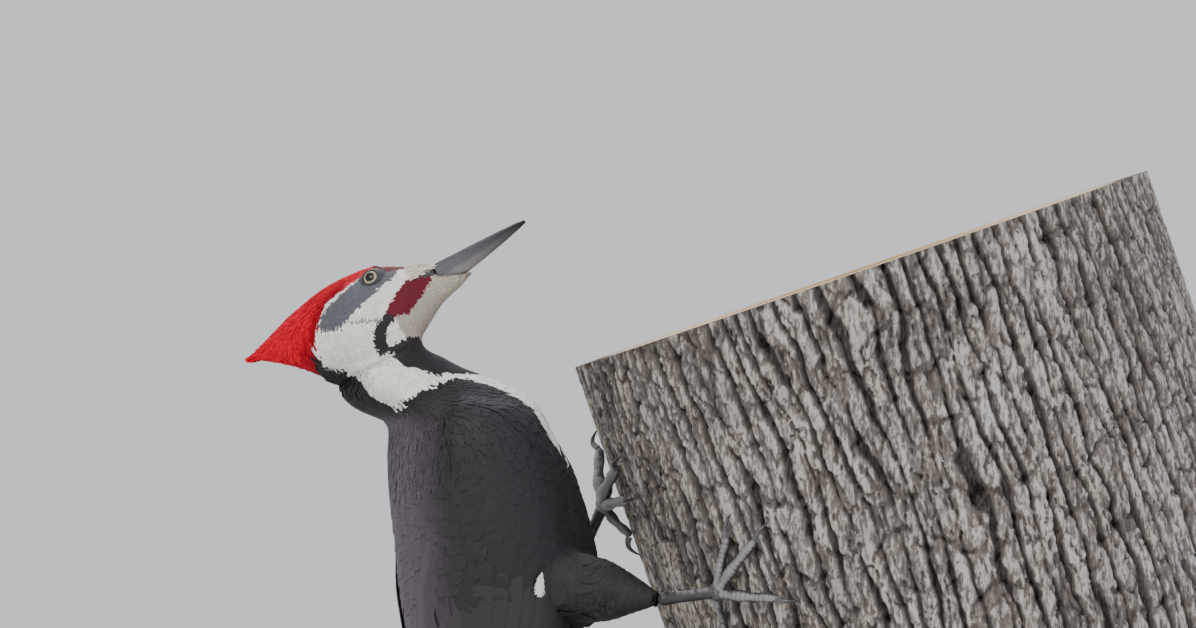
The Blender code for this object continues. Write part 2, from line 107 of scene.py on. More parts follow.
# Brushed stainless steel: fine turning lines 0.4 mm apart, drawn at 0.8 mm so that they show.
steel, tree = new_finish("brushed_stainless_steel", Metallic=1.0, Roughness=0.34)
place = add(tree, "TexCoord", out="Object")
lines = add(tree, "Mapping", {"Vector": place, "Scale": (40, 40, 1250)})
turned = add(tree, "TexNoise", {"Vector": lines, "Scale": 1, "Detail": 4})
add(
    tree, "ValToRGB", {"Fac": turned}, stops=((0.3, "#a9aaab"), (0.7, "#cfd0d1")), into="Base Color",
)
add(tree, "MapRange", {"Value": turned, "To Min": 0.26, "To Max": 0.44}, into="Roughness")
add(tree, "Bump", {"Height": turned, "Strength": 0.1, "Distance": 0.0001}, into="Normal")
for side in ("left", "right"):
    nodes["stand_rod_" + side].material_slots[0].material = steel

# ---- The length of trunk -------------------------------------------------------------------------------
# A sawn length of a living hardwood trunk with its bark on, 270 mm across and leaning. The bark stands
# in long ridges that part and meet again, split across into plates, with dark fissures between them.

LOG_RADIUS = 135
LOG_LEAN = math.radians(19)
LOG_MIDDLE = np.array([-22, 0, 284.0])
LOG_TOP = 108  # top cut, along the axis
LOG_BOTTOM = 55.3  # level of the lower cut
LOG_UP = np.array([-math.sin(LOG_LEAN), 0, math.cos(LOG_LEAN)])
LOG_OUT = np.array([-math.cos(LOG_LEAN), 0, -math.sin(LOG_LEAN)])  # from its axis to the bird
LOG_NEAR = np.array([0, -1.0, 0])
BARK_COLUMNS, BARK_ROWS, BARK_PANELS = 864, 352, 4
RIDGES = 88  # round the trunk, about 10 mm apart
FISSURE, BARK_OVER = 6, 0.6  # depth of the deepest, and how far ridges stand over the plain length


def chance(column, row, seed):
    """A fixed chance number from 0 to 1 for each cell of a grid."""
    return np.abs(np.sin(column * 127.1 + row * 311.7 + seed * 74.7) * 43758.5453) % 1.0


def drift(x, y, around, seed):
    """Smooth noise from 0 to 1 over whole-number cells, meeting itself after so many columns."""
    column, row = np.floor(x), np.floor(y)
    a, b = x - column, y - row
    a, b = a * a * (3 - 2 * a), b * b * (3 - 2 * b)
    low = chance(column % around, row, seed) * (1 - a) + chance((column + 1) % around, row, seed) * a
    row = row + 1
    high = chance(column % around, row, seed) * (1 - a) + chance((column + 1) % around, row, seed) * a
    return low * (1 - b) + high * b


def plates(x, y, around, seed):
    """Distance from the nearest crack between plates, and a chance number for each plate."""
    first, second, tone = np.full(x.shape, 9.0), np.full(x.shape, 9.0), np.zeros(x.shape)
    for i in (-1, 0, 1):
        for j in (-1, 0, 1):
            column, row = np.floor(x) + i, np.floor(y) + j
            there = chance(column % around, row, seed)
            mid_x = column + 0.5 + 0.7 * (there - 0.5)
            mid_y = row + 0.5 + 0.9 * (chance(column % around, row, seed + 1) - 0.5)
            far = np.hypot(x - mid_x, y - mid_y)
            second = np.minimum(second, np.maximum(first, far))
            tone = np.where(far < first, chance(column % around, row, seed + 2), tone)
            first = np.minimum(first, far)
    return second - first, tone


def ease(low, high, value):
    """0 below low, 1 above high, smooth between."""
    share = np.clip((value - low) / (high - low), 0, 1)
    return share * share * (3 - 2 * share)


def size_of(ways):
    return np.linalg.norm(ways, axis=-1)


def travelled(path):
    """How far along a path each of its points lies."""
    return np.concatenate([[0], np.cumsum(size_of(np.diff(path, axis=0)))])


def unit(ways):
    """The same directions, each of length 1."""
    return ways / np.maximum(size_of(ways), 1e-9)[..., None]


def bark(turn, height):
    """How much of the bark stands there, 0 in a fissure and 1 on a ridge, and each plate's own tone."""
    x, y = turn / (2 * math.pi) * RIDGES, height
    ragged = drift(x * 3, y / 9, RIDGES * 3, 31) - 0.5
    torn = drift(x * 7, y / 3.5, RIDGES * 7, 33) - 0.5
    across = (
        x + 1.6 * drift(x / 8, y / 150, RIDGES // 8, 1) + 0.8 * drift(x / 2, y / 48, RIDGES // 2, 2)
        + 0.34 * drift(x, y / 17, RIDGES, 4) + 0.2 * ragged + 0.11 * torn
    )
    along = y + 4 * ragged + 2 * torn
    split = np.round(across)
    gap = abs(across - split)
    opened = drift((split % RIDGES) * 3.7, y / 30, 10**6, 41)  # fissures widen, close and open again
    mouth = -0.07 + 0.22 * opened
    wall = ease(mouth, mouth + 0.09, gap)
    shift = chance(np.floor(across - 0.5) % RIDGES, 0, 8) * 40
    plate, tone = plates(across + 0.5, (along + shift) / 26, RIDGES, 5)
    block, shade = plates(2 * across, along / 12, RIDGES * 2, 11)
    rough = sum(
        (drift(x * k, y / down, RIDGES * k, 21 + k) - 0.5) / share
        for k, down, share in ((4, 10, 1.2), (7, 5.0, 1.3), (11, 2.8, 1.4))
    )
    stand = 0.5 * wall + 0.08 * ease(0, 0.4, gap)
    stand = stand + 0.26 * ease(0.02, 0.11, plate) + 0.13 * ease(0.0, 0.13, block)
    stand = stand + 0.2 * rough * (0.3 + 0.7 * wall) + 0.06 * (tone - 0.5) + 0.06 * (shade - 0.5)
    return np.clip(stand, 0, 1), 0.5 * tone + 0.5 * shade


def new_piece(name, points, faces, *finishes, smooth=True, shading=None):
    """A mesh object from points in millimetres and an array of faces of equal corner count."""
    mesh = bpy.data.meshes.new(name)
    faces = np.asarray(faces, dtype=np.int32)
    mesh.vertices.add(len(points))
    mesh.vertices.foreach_set("co", (np.asarray(points) * MM).astype(np.float32).ravel())
    mesh.loops.add(faces.size)
    mesh.loops.foreach_set("vertex_index", faces.ravel())
    mesh.polygons.add(len(faces))
    mesh.polygons.foreach_set("loop_start", np.arange(0, faces.size, faces.shape[1], dtype=np.int32))
    mesh.update(calc_edges=True)
    if smooth:
        mesh.shade_smooth()
    if shading is not None:  # directions that the light is to see, point by point
        mesh.normals_split_custom_set_from_vertices(shading)
    for finish in finishes:
        mesh.materials.append(finish)
    made = bpy.data.objects.new(name, mesh)
    bpy.context.scene.collection.objects.link(made)
    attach(made, "root")
    return made


def net(rows, columns, closed):
    """Quads over a grid of points held row by row, each row closed to a ring or open."""
    k, j = np.meshgrid(np.arange(rows - 1), np.arange(columns if closed else columns - 1), indexing="ij")
    a, b = k * columns + j, k * columns + (j + 1) % columns
    return np.stack([a, b, b + columns, a + columns], axis=-1).reshape(-1, 4)


def caps(rows, sides):
    """Quads that close both ends of a net of rings, across from each point to its mate."""
    return np.array([
        [start + k, start + k + 1, start + sides - 2 - k, start + sides - 1 - k]
        for start in (0, (rows - 1) * sides) for k in range(sides // 2 - 1)
    ])


def paint(piece, name, values):
    """Stores a number or a colour at each point for the material to read."""
    values = np.asarray(values, dtype=np.float32)
    if values.ndim == 1:
        piece.data.attributes.new(name, "FLOAT", "POINT").data.foreach_set("value", values)
    else:
        colours = np.ones((len(values), 4), dtype=np.float32)
        colours[:, :3] = values
        layer = piece.data.color_attributes.new(name, "FLOAT_COLOR", "POINT")
        layer.data.foreach_set("color", colours.ravel())


turn, share = np.meshgrid(
    np.arange(BARK_COLUMNS) * 2 * math.pi / BARK_COLUMNS, np.linspace(0, 1, BARK_ROWS)
)
way = np.cos(turn)[..., None] * LOG_OUT + np.sin(turn)[..., None] * LOG_NEAR
lowest = (LOG_BOTTOM - LOG_MIDDLE[2] - LOG_RADIUS * way[..., 2]) / LOG_UP[2]
height = lowest + (LOG_TOP - lowest) * share
stand, tone = bark(turn, height)
radius = LOG_RADIUS + BARK_OVER - FISSURE * (1 - stand)
points = LOG_MIDDLE + height[..., None] * LOG_UP + radius[..., None] * way
points[0] -= LOG_UP * ((points[0, :, 2:] - LOG_BOTTOM) / LOG_UP[2])

# Grey-brown bark: fissures painted near black as painted shade in their depth, weathered pale ridge tops,
# grain, and pale flecks 1.5 mm across painted as highlights.
grey_bark, tree = new_finish("weathered_grey_bark", Roughness=0.9, IOR=1.45, Specular_IOR_Level=0.3)
place = add(tree, "TexCoord", out="Object")
up_trunk = add(tree, "Mapping", {"Vector": place, "Rotation": (0, LOG_LEAN, 0), "Scale": (700, 700, 190)})
grain = add(tree, "TexNoise", {"Vector": up_trunk, "Scale": 1, "Detail": 6, "Roughness": 0.68})
stands = add(tree, "Attribute", out="Fac", attribute_name="stand")
toned = add(tree, "Attribute", out="Fac", attribute_name="tone")
patchy = add(tree, "TexNoise", {"Vector": place, "Scale": 26, "Detail": 4})
mixed = add(tree, "Math", {0: stands, 1: 0.68, 2: -0.2}, operation="MULTIPLY_ADD")
mixed = add(tree, "Math", {0: grain, 1: 0.9, 2: mixed}, operation="MULTIPLY_ADD")
mixed = add(tree, "Math", {0: toned, 1: 0.08, 2: mixed}, operation="MULTIPLY_ADD")
# Painted shade and highlight: the ramp runs to near black where the bark lies low in its fissures, and its
# pale top end paints highlight flecks on the ridges.
wood = add(
    tree, "ValToRGB", {"Fac": mixed},
    stops=((0.24, "#090807"), (1.0, "#b8b5b3"), (0.42, "#211f1e"), (0.58, "#433f3e"), (0.74, "#5e5a58"),
           (0.88, "#757170")),
)
weather = add(
    tree, "ValToRGB", {"Fac": patchy}, stops=((0.35, "#dedddb"), (0.65, "#ffffff"), (0.5, "#fcf4ec"))
)
add(
    tree, "Mix", {0: 1.0, 6: wood, 7: weather},
    out=2, data_type="RGBA", blend_type="MULTIPLY", into="Base Color",
)
add(tree, "Bump", {"Height": grain, "Strength": 0.8, "Distance": 0.0016}, into="Normal")

# Four panels side by side, so that none is too heavy; they share their edges and the light's directions.
up_row, round_row = np.gradient(points, axis=0), np.roll(points, -1, axis=1) - np.roll(points, 1, axis=1)
light_way = unit(np.cross(round_row, up_row))
light_way *= np.sign((light_way * way).sum(axis=2))[..., None]
panel_width = BARK_COLUMNS // BARK_PANELS
for panel in range(BARK_PANELS):
    columns = np.arange(panel * panel_width, (panel + 1) * panel_width + 1) % BARK_COLUMNS
    faces = net(BARK_ROWS, panel_width + 1, False)
    log_bark = new_piece(
        f"log_bark_{panel + 1}", points[:, columns].reshape(-1, 3), faces, grey_bark,
        shading=light_way[:, columns].reshape(-1, 3),
    )
    paint(log_bark, "stand", stand[:, columns].ravel())
    paint(log_bark, "tone", tone[:, columns].ravel())
    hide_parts("perch_log")

# Sawn ends: pale wood with yearly rings 3 mm apart round a dark heart, and rough saw marks.
sawn_wood, tree = new_finish("sawn_hardwood", Roughness=0.78, IOR=1.45)
place = add(tree, "TexCoord", out="Object")
far = add(tree, "Attribute", out="Fac", attribute_name="from_heart")
wobble = add(tree, "TexNoise", {"Vector": place, "Scale": 18, "Detail": 2})
year = add(tree, "Math", {0: wobble, 1: 9.0, 2: far}, operation="MULTIPLY_ADD")
year = add(tree, "Math", {0: year, 1: 2.1}, operation="MULTIPLY")
year = add(tree, "Math", {0: year}, operation="SINE")
fibre = add(tree, "TexNoise", {"Vector": place, "Scale": 900, "Detail": 3})
depth = add(tree, "Math", {0: far, 1: 1 / 128}, operation="MULTIPLY")
heart = add(
    tree, "ValToRGB", {"Fac": depth},
    stops=((0.0, "#7c5a3a"), (1.0, "#4b392b"), (0.45, "#a98258"), (0.6, "#cdb188"), (0.93, "#d3bb95"),
           (0.955, "#4b392b")),
)
late = add(tree, "MapRange", {"Value": year, "From Min": 0.2, "From Max": 1.0, "To Max": 0.45})
lined = add(
    tree, "Mix", {0: late, 6: heart, 7: hex_colour("#6f4c2c")}, out=2, data_type="RGBA"
)
add(
    tree, "Mix", {0: 0.35, 6: lined, 7: fibre}, out=2, into="Base Color", data_type="RGBA",
    blend_type="OVERLAY",
)
add(tree, "Bump", {"Height": fibre, "Strength": 0.5, "Distance": 0.0006}, into="Normal")

RINGS, PINHOLE = 14, 0.999  # points from the bark in, all but meeting at the heart
ends, quads, hearts = [], [], []
for row, heart_height in ((0, (LOG_BOTTOM - LOG_MIDDLE[2]) / LOG_UP[2]), (BARK_ROWS - 1, LOG_TOP)):
    middle = LOG_MIDDLE + heart_height * LOG_UP
    for ring in range(RINGS):
        ends.append(middle + (points[row] - middle) * (1 - ring / (RINGS - PINHOLE)))
        hearts.append(size_of(ends[-1] - middle))
    first = (0 if row == 0 else RINGS) * BARK_COLUMNS
    faces = net(RINGS, BARK_COLUMNS, True) + first
    quads.append(faces if row else faces[:, ::-1])
cut_ends = new_piece("log_cut_ends", np.concatenate(ends), np.concatenate(quads), sawn_wood, smooth=False)
paint(cut_ends, "from_heart", np.concatenate(hearts))
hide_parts("perch_log")

# ---- Skin ----------------------------------------------------------------------------------------------
# One skin over head, neck, trunk, folded wings' arms and thighs, grown as a single closed surface under
# the feathers, with bare lids round the eyes. It carries the same markings as the plumage over it.

BODY_AT, BODY_YAW = np.array([-223, -62, 284.0]), math.radians(20)
HEAD_AT = np.array([-269.8, -69, 377.7])  # midway between the eyes
HEAD_YAW, HEAD_PITCH, HEAD_ROLL = math.radians(-10), math.radians(31.6), math.radians(22)
UP = np.array([0, 0, 1.0])
AHEAD = np.array([math.cos(BODY_YAW), math.sin(BODY_YAW), 0])
RIGHT = np.cross(AHEAD, UP)
BILL_WAY = np.array([
    math.cos(HEAD_PITCH) * math.cos(HEAD_YAW), math.cos(HEAD_PITCH) * math.sin(HEAD_YAW),
    math.sin(HEAD_PITCH),
])
LEVEL = np.cross(BILL_WAY, UP) / math.cos(HEAD_PITCH)
CROWN_WAY = math.cos(HEAD_ROLL) * np.cross(LEVEL, BILL_WAY) - math.sin(HEAD_ROLL) * LEVEL
HEAD_RIGHT = np.cross(BILL_WAY, CROWN_WAY)

# Stations from the skull to the tail: ahead, up, the section's tilt (front end up), half depth, half width.
SPINE = np.array([
    (-47, 66, 30, 18, 16), (-48.5, 58.3, 29, 20.4, 18), (-41.3, 53, 30, 22.3, 20),
    (-33, 48.5, 27, 23.5, 22.5), (-21.5, 44, 20, 27.5, 29),
    (-12, 37, 12, 34, 34.5), (-9, 26, 8, 37.7, 38), (-3.4, 8, 8, 42.7, 39.5),
    (1.4, -14, 9, 45.2, 39.5), (5.4, -38, 12, 46.6, 37.5), (7, -60, 18, 41.5, 32.5), (15.5, -80, 28, 30, 25),
    (25.5, -97, 42, 18, 18.5), (37, -109.5, 52, 10.5, 15.5), (52, -120.5, 54, 5, 14),
])
HIP = {"right": (8, 17, -34), "left": (6, -17, -30)}
ANKLE = {"right": (58, 60, -42), "left": (58, -52, -34)}


def in_body(ahead, right, up):
    times = np.multiply.outer
    return BODY_AT + times(ahead, AHEAD) + times(right, RIGHT) + times(up, UP)


def in_head(ahead, right, up):
    times = np.multiply.outer
    return HEAD_AT + times(ahead, BILL_WAY) + times(right, HEAD_RIGHT) + times(up, CROWN_WAY)


def between(rows, at):
    """Smooth readings of a table of rows at places from 0 to its last row."""
    rows, at = np.asarray(rows, dtype=float), np.asarray(at, dtype=float)
    last = len(rows) - 1
    low = np.clip(at.astype(int), 0, last - 1)
    share = (at - low)[..., None]
    p, q, r, s = (rows[np.clip(low + k, 0, last)] for k in (-1, 0, 1, 2))
    return 0.5 * (
        2 * q + (r - p) * share + (2 * p - 5 * q + 4 * r - s) * share**2 + (3 * (q - r) + s - p) * share**3
    )


def reading(table, share):
    """Smooth readings of a table whose first column is the share of the length where each row stands."""
    return between(table, np.interp(share, [row[0] for row in table], range(len(table))))


def from_eyes(points):
    """How far ahead, right and up places lie in the head, from midway between the eyes."""
    local = points - HEAD_AT
    return local @ BILL_WAY, local @ HEAD_RIGHT, local @ CROWN_WAY


def body_place(points, spine=SPINE):
    """Each point's station down the spine and its turn in degrees from the back to the right side."""
    local = points - BODY_AT
    ahead, right, up = local @ AHEAD, local @ RIGHT, local @ UP
    stations = np.linspace(0, len(spine) - 1, 10 * len(spine) - 9)
    mid_ahead, mid_up, tilt, deep, wide = between(spine, stations).T
    tilt = np.radians(tilt)
    best, station, turn = np.full(len(points), 1e9), np.zeros(len(points)), np.zeros(len(points))
    for k in range(len(stations)):
        a, u = ahead - mid_ahead[k], up - mid_up[k]
        along = abs(u * math.cos(tilt[k]) - a * math.sin(tilt[k]))
        front = (a * math.cos(tilt[k]) + u * math.sin(tilt[k])) / deep[k]
        cost = along + 6 * abs(np.hypot(front, right / wide[k]) - 1)
        nearer = cost < best
        best = np.where(nearer, cost, best)
        station = np.where(nearer, stations[k], station)
        turn = np.where(nearer, np.degrees(np.arctan2(right / wide[k], -front)), turn)
    return station, turn


def within(corners, u, w):
    """Whether side-view places in the head lie inside an outline."""
    inside = np.zeros(len(u), dtype=bool)
    for (ua, wa), (ub, wb) in zip(corners, corners[1:] + corners[:1]):
        crosses = ((wa > w) != (wb > w)) & (u < (ub - ua) * (w - wa) / (wb - wa + 1e-9) + ua)
        inside ^= crosses
    return inside


# Outlines on the side of the head, ahead and up from between the eyes, alike on both sides.
RED_EDGE = [(-44, -16.9), (-40.3, -13.7), (-34.6, -12.4), (-30, -7.9), (-26, -3.2), (-20.9, 0.4), (-11.1, 2),
            (-5, 3.7), (0, 3.7), (4, 2.6), (7.1, -0.6), (12.1, -2.1), (16, -3)]
EYE_BAND = [(13, -1), (10.9, -5.7), (5.6, -6.9), (-2.5, -9.8), (-15.4, -12.6), (-21, -13.9), (-26.3, -11.2),
            (-29.5, -8.4), (-26.5, -4.6), (-20, -1.4), (-11, 0.4), (-4, 3.4), (3, 4.2), (8, -0.6)]
WHISKER = [(16.4, -8.2), (24.8, -13.1), (19.2, -17), (8, -22.6), (2.6, -21.6), (0.6, -18.4), (4.1, -16),
           (9.8, -12.7)]
WHISKER_END = [(2.6, -22.4), (1, -18.6), (-2.5, -19.6), (-7.7, -21.6), (-12.5, -26), (-14.5, -30.8),
               (-14, -36), (-7, -39.7), (0, -43), (14, -46), (14, -33), (2.6, -30.7), (-2, -30.2),
               (-7.5, -29.3), (-6, -26.6), (-2.6, -24)]
NAPE = [(-30, -8.6), (-35, -12.8), (-36.4, -16), (-38.8, -18.2), (-37, -20.8), (-34.6, -22.8),
        (-32.3, -25.4), (-30.4, -28), (-28.6, -31.3), (-27, -37), (-60, -60), (-75, -20), (-48, -14),
        (-40.5, -12.6), (-34.6, -11.2)]
GAPE = [(18.5, -11.4), (27, -8.2), (27, -12.6)]  # where the horn of the bill runs back between the feathers
# Down the neck, by station: half angle of the black nape, and where white gives way to the black foreneck.
NAPE_EDGE = [(0, 9), (0.23, 20), (0.57, 37), (0.95, 46), (1.6, 48), (2.1, 47), (2.5, 47), (2.8, 42),
             (3.2, 38), (3.5, 60), (14, 60)]
FORENECK_EDGE = [(0, 96), (0.56, 106), (1.3, 122), (2.2, 118), (3, 142), (3.5, 166), (4.2, 172), (5.2, 170),
                 (6.6, 166), (14, 166)]
# By turn round the neck: the station where the white ends on the black mantle or the wing.
WHITE_END = [(0, 3), (42, 2.84), (75, 2.5), (97, 2.6), (119, 2.8), (131, 3.2), (139, 6.0), (180, 6.2)]

RED, SHADED_CREST_RED, DARK_RED, CRIMSON = "#c60022", "#7d0213", "#5a0512", "#61061f"
WHITE, CREAM, SHADED_CHIN = "#e4e1db", "#ddd3bf", "#a59d92"
SLATE, BLACK, NECK_BLACK, BACK_SHEEN = "#575a62", "#1d1b1e", "#262227", "#514a54"


def markings(points):
    """The plumage's colour at each place, linear, with painted sheen and painted shade among its markings.
    """
    u, v, w = from_eyes(points)
    station, turn = body_place(points)
    colour = np.tile(np.array(hex_colour(BLACK)[:3]), (len(points), 1))

    def fill(where, code):
        colour[where] = hex_colour(code)[:3]

    def tint(share, code):
        colour[:] = colour * (1 - share[:, None]) + np.array(hex_colour(code)[:3]) * share[:, None]

    # Painted sheen: the back is tinted a paler purple-grey than the black sides and belly, as where light
    # falls on it.
    back = 0.12 + 0.82 * ease(60, 12, abs(turn)) + 0.1 * ease(6.5, 3.5, station)
    tint(back * ease(2.4, 4.0, station) * ease(13.5, 9, station), BACK_SHEEN)
    twist = turn + 20 * np.clip(1 - station / 3, 0, 1)
    off = abs(twist)
    nape = np.interp(station, *zip(*NAPE_EDGE)) + 30 * (twist < 0) * np.clip(1 - station / 2, 0, 1)
    front = np.interp(station, *zip(*FORENECK_EDGE))
    neck = station < 6.6
    white = neck & (off > nape) & (off < front) & (station < np.interp(abs(turn), *zip(*WHITE_END)))
    fill(white, WHITE)
    # Painted shade: the white of the neck is greyer towards the nape, in the fold of the neck.
    colour[white] *= (0.78 + 0.26 * ease(0, 34, off - nape))[white, None]  # greyer towards the nape
    fill(neck & (off >= front) & (station < 3.2), NECK_BLACK)

    head = (w > -31 + 0.35 * np.clip(-u - 14, 0, 40)) & (size_of(points - HEAD_AT) < 76)
    fill(head, WHITE)
    # Painted shade: the white of the head darkens towards the rear and lower cheek.
    colour[head] *= (1 - 0.16 * ease(-8, -32, u) * ease(-8, -22, w))[head, None]
    # Painted shade: the chin under the bill is painted a greyer white.
    fill(head & (u > 2) & (w < np.interp(u, (16, 21), (-17, -12.4))), SHADED_CHIN)
    fill(head & within(WHISKER_END, u, w) & (abs(v) > 3), NECK_BLACK)
    fill(head & (w < -29.6) & (u > -8), NECK_BLACK)
    # Painted shade: a thin grey shadow line across the white cheek, below the eye band.
    fill(head & (u > -16) & (u < -2) & (abs(w + 14.5 + 0.46 * (u + 15.8)) < 0.6), "#86878a")
    fill(head & within(EYE_BAND, u, w), SLATE)
    fill(head & within(NAPE, u, w), BLACK)
    edge = np.interp(u, *zip(*RED_EDGE))
    fill(head & (w > edge) & (u < 15), RED)
    # Painted shade: the crest's lower rear part darkens towards a deep red near its edge.
    tint((head & (w > edge) & (u < -12)) * ease(9, 1, w - edge) * 0.75, SHADED_CREST_RED)
    fill(head & (w > edge) & (u < 15) & (u > 3) & (w < edge + 4.5), DARK_RED)
    fill(head & within(WHISKER, u, w), CRIMSON)
    fill(head & (u > 15) & (w > -9.5), CREAM)
    fill(head & within(GAPE, u, w) & (abs(v) > 4), "#3f4147")
    uneven = np.sin(0.9 * u + 2 * np.sin(0.5 * w)) * np.sin(0.8 * w + 1.5 * np.sin(0.6 * u))
    return colour * (1 + 0.06 * uneven)[:, None]


SWELL = 0.9  # closes the thin cuts between the solids
flesh = bpy.data.meshes.new("flesh")
corners, faces = [], []
for name in ("head", "crest", "neck", "trunk", "wing_left", "wing_right", "thigh_left", "thigh_right"):
    solid = nodes[name].data
    swell = [v.co + SWELL * MM * v.normal for v in solid.vertices]
    faces += [tuple(len(corners) + k for k in p.vertices) for p in solid.polygons]
    corners += swell
flesh.from_pydata(corners, [], faces)
mould = bpy.data.objects.new("mould", flesh)
bpy.context.scene.collection.objects.link(mould)
one = mould.modifiers.new("one_surface", "REMESH")
one.mode, one.voxel_size = "VOXEL", 1.25 * MM
soft = mould.modifiers.new("soften", "SMOOTH")
soft.factor, soft.iterations = 0.5, 9
skin_mesh = bpy.data.meshes.new_from_object(mould.evaluated_get(bpy.context.evaluated_depsgraph_get()))
bpy.data.objects.remove(mould)


def points_of(mesh):
    found = np.empty(len(mesh.vertices) * 3, dtype=np.float32)
    mesh.vertices.foreach_get("co", found)
    return found.reshape(-1, 3).astype(float) / MM


def normals_of(mesh):
    found = np.empty(len(mesh.vertices) * 3, dtype=np.float32)
    mesh.vertices.foreach_get("normal", found)
    return found.reshape(-1, 3).astype(float)


def coat_depth(points):
    """How far the feathers stand over the skin: least on the face, and more with distance from it."""
    face = size_of(points - in_head(8, 0, -8))
    return np.interp(face, (0, 26, 60, 120), (0.9, 1.1, 1.7, 2.2))


shell, outward = points_of(skin_mesh), normals_of(skin_mesh)
tree = BVHTree.FromPolygons(shell.tolist(), [tuple(p.vertices) for p in skin_mesh.polygons])
thick = np.array([
    (tree.ray_cast(Vector(p - 0.05 * n), Vector(-n), 60)[3] or 60) for p, n in zip(shell, outward)
])
WING_LINE = np.concatenate([SPINE[3:11], [
    (15, -82, 28, 32, 27), (27.5, -104, 38, 20.5, 23), (44, -121.5, 46, 12, 21), (63, -137, 50, 9, 19),
    (83, -152, 52, 7.5, 17),
]])
# Share of the wing's length, its edges towards back and belly in degrees round the body, thickness.
WING = [(0, 84, 100, 2.5), (0.04, 58, 124, 5.5), (0.12, 46, 130, 7.5), (0.3, 33, 120, 7.5),
        (0.48, 24, 110, 6),
        (0.62, 17, 100, 5), (0.74, 13, 88, 4.2), (0.86, 11, 70, 3.2), (0.95, 11, 48, 2.2), (1, 14, 26, 1.4)]
WING_LENGTH, WING_LIFT, WING_FROM = 232, 1.4, 0.8
wing_at = np.arange(WING_FROM, len(WING_LINE) - 1, 0.02)
wing_gone = travelled(between(WING_LINE, wing_at)[:, :2])


def round_body(stations, at, turn, out):
    """Points round a section: turn in degrees from the back towards the right side."""
    ahead, up, tilt, deep, wide = np.moveaxis(between(stations, at), -1, 0)
    tilt, turn = np.radians(tilt), np.radians(turn)
    front = np.cos(tilt)[..., None] * AHEAD + np.sin(tilt)[..., None] * UP
    return (
        in_body(ahead, 0 * ahead, up) - ((deep + out) * np.cos(turn))[..., None] * front
        + ((wide + out) * np.sin(turn))[..., None] * RIGHT
    )


def wing_place(points):
    """Each point's station down the wing's line and turn round it, its share of the wing's length, and the
    turns of the wing's edges there, towards the back and towards the belly."""
    at, turn = body_place(points, WING_LINE)
    share = np.interp(at, wing_at, wing_gone) / WING_LENGTH
    _, back, belly, _ = reading(WING, share).T
    return at, turn, share, back, belly


def wing_share(points):
    """How far down a folded wing places lie, and 0 where they aren't under one."""
    at, turn, share, back, belly = wing_place(points)
    return np.where((abs(turn) > back - 4) & (abs(turn) < belly + 3) & (at > WING_FROM), share, 0)


# Ahead, right, up and reach of the folded wings' bends, alike on both sides.
BENDS = [(4, 36, 22, 24), (-34, 30, 0, 13), (-34, 29, -24, 13)]
NAPE_HOLLOW = np.array([-288.5, -65, 333.4])  # the fold of the drawn-back neck, which loose skin fills
fill_out = 3 * np.exp(-((size_of(shell - NAPE_HOLLOW) / 15) ** 2))
# Over the folded wings' bends the plumage runs on from the neck in one smooth curve, with no step.
edge_ends = np.array([tuple(e.vertices) for e in skin_mesh.edges])
bends = np.max([
    np.exp(-((size_of(shell - in_body(ahead, side * right, up)) / reach) ** 2))
    for ahead, right, up, reach in BENDS for side in (1, -1)
], axis=0)
touching = np.bincount(edge_ends.ravel(), minlength=len(shell))
for _ in range(70):
    beside = shell[edge_ends[:, ::-1]].reshape(-1, 3)
    middle = np.stack([np.bincount(edge_ends.ravel(), beside[:, k], len(shell)) for k in range(3)], axis=1)
    shell = shell + 0.6 * bends[:, None] * (middle / touching[:, None] - shell)
tucked = ease(0.38, 0.5, wing_share(shell))  # deeper under the folded wing's long quills
sink = np.minimum(SWELL + coat_depth(shell) + 2.2 * tucked, (0.36 + 0.12 * tucked) * thick)
shell = shell - outward * (sink - fill_out)[:, None]
skin_mesh.vertices.foreach_set("co", (shell * MM).astype(np.float32).ravel())
skin_mesh.update()


# Bare lids: a soft rim that grips the eyeball, and slate skin that runs out under the face feathers.
EYE_OUT, EYE_RADIUS = 9.4, 5.2
# The lid's section: distance from the eye's axis, and out along it.
LID = [(3.0, 4.2), (3.05, 4.5), (3.2, 4.72), (3.42, 4.68), (3.62, 4.4), (3.9, 4.0), (4.3, 3.45), (4.8, 2.8),
       (5.5, 1.95), (6.4, 0.9)]
LID_SIDES = 64
lid_points, lid_faces = [], []
for side in (1, -1):
    first = sum(len(p) for p in lid_points)
    for ring, (off, out) in enumerate(LID):
        around = np.arange(LID_SIDES) * 2 * math.pi / LID_SIDES
        pucker = 0.07 * np.sin(around * 16 + ring) * (0 < ring < 7)
        long, tall = 1.07 + 0.05 * (ring < 6), 0.93  # the opening is a little longer than tall
        lid_points.append(in_head(
            (off + pucker) * np.cos(around) * long, np.full(LID_SIDES, side * (EYE_OUT + out)),
            (off + pucker) * np.sin(around) * tall,
        ))
    faces = net(len(LID), LID_SIDES, True) + first
    lid_faces.append(faces if side < 0 else faces[:, ::-1])
lid_points, lid_faces = np.concatenate(lid_points), np.concatenate(lid_faces)

skin_faces = np.array([tuple(p.vertices) for p in skin_mesh.polygons])
# Thin skin: soft, slightly waxy, with fine creases 0.6 mm apart drawn at 1 mm.
bare_skin, tree = new_finish(
    "thin_bare_skin", Roughness=0.55, IOR=1.4, Subsurface_Weight=0.08, Subsurface_Scale=0.001
)
place = add(tree, "TexCoord", out="Object")
crease = add(tree, "TexNoise", {"Vector": place, "Scale": 1000, "Detail": 4})
dyed = add(tree, "Attribute", out="Color", attribute_name="plumage")
shade = add(tree, "MapRange", {"Value": crease, "To Min": 0.55, "To Max": 0.95})
add(
    tree, "Mix", {0: 1.0, 6: dyed, 7: shade}, out=2, into="Base Color", data_type="RGBA",
    blend_type="MULTIPLY",
)
add(tree, "Bump", {"Height": crease, "Strength": 0.35, "Distance": 0.0003}, into="Normal")

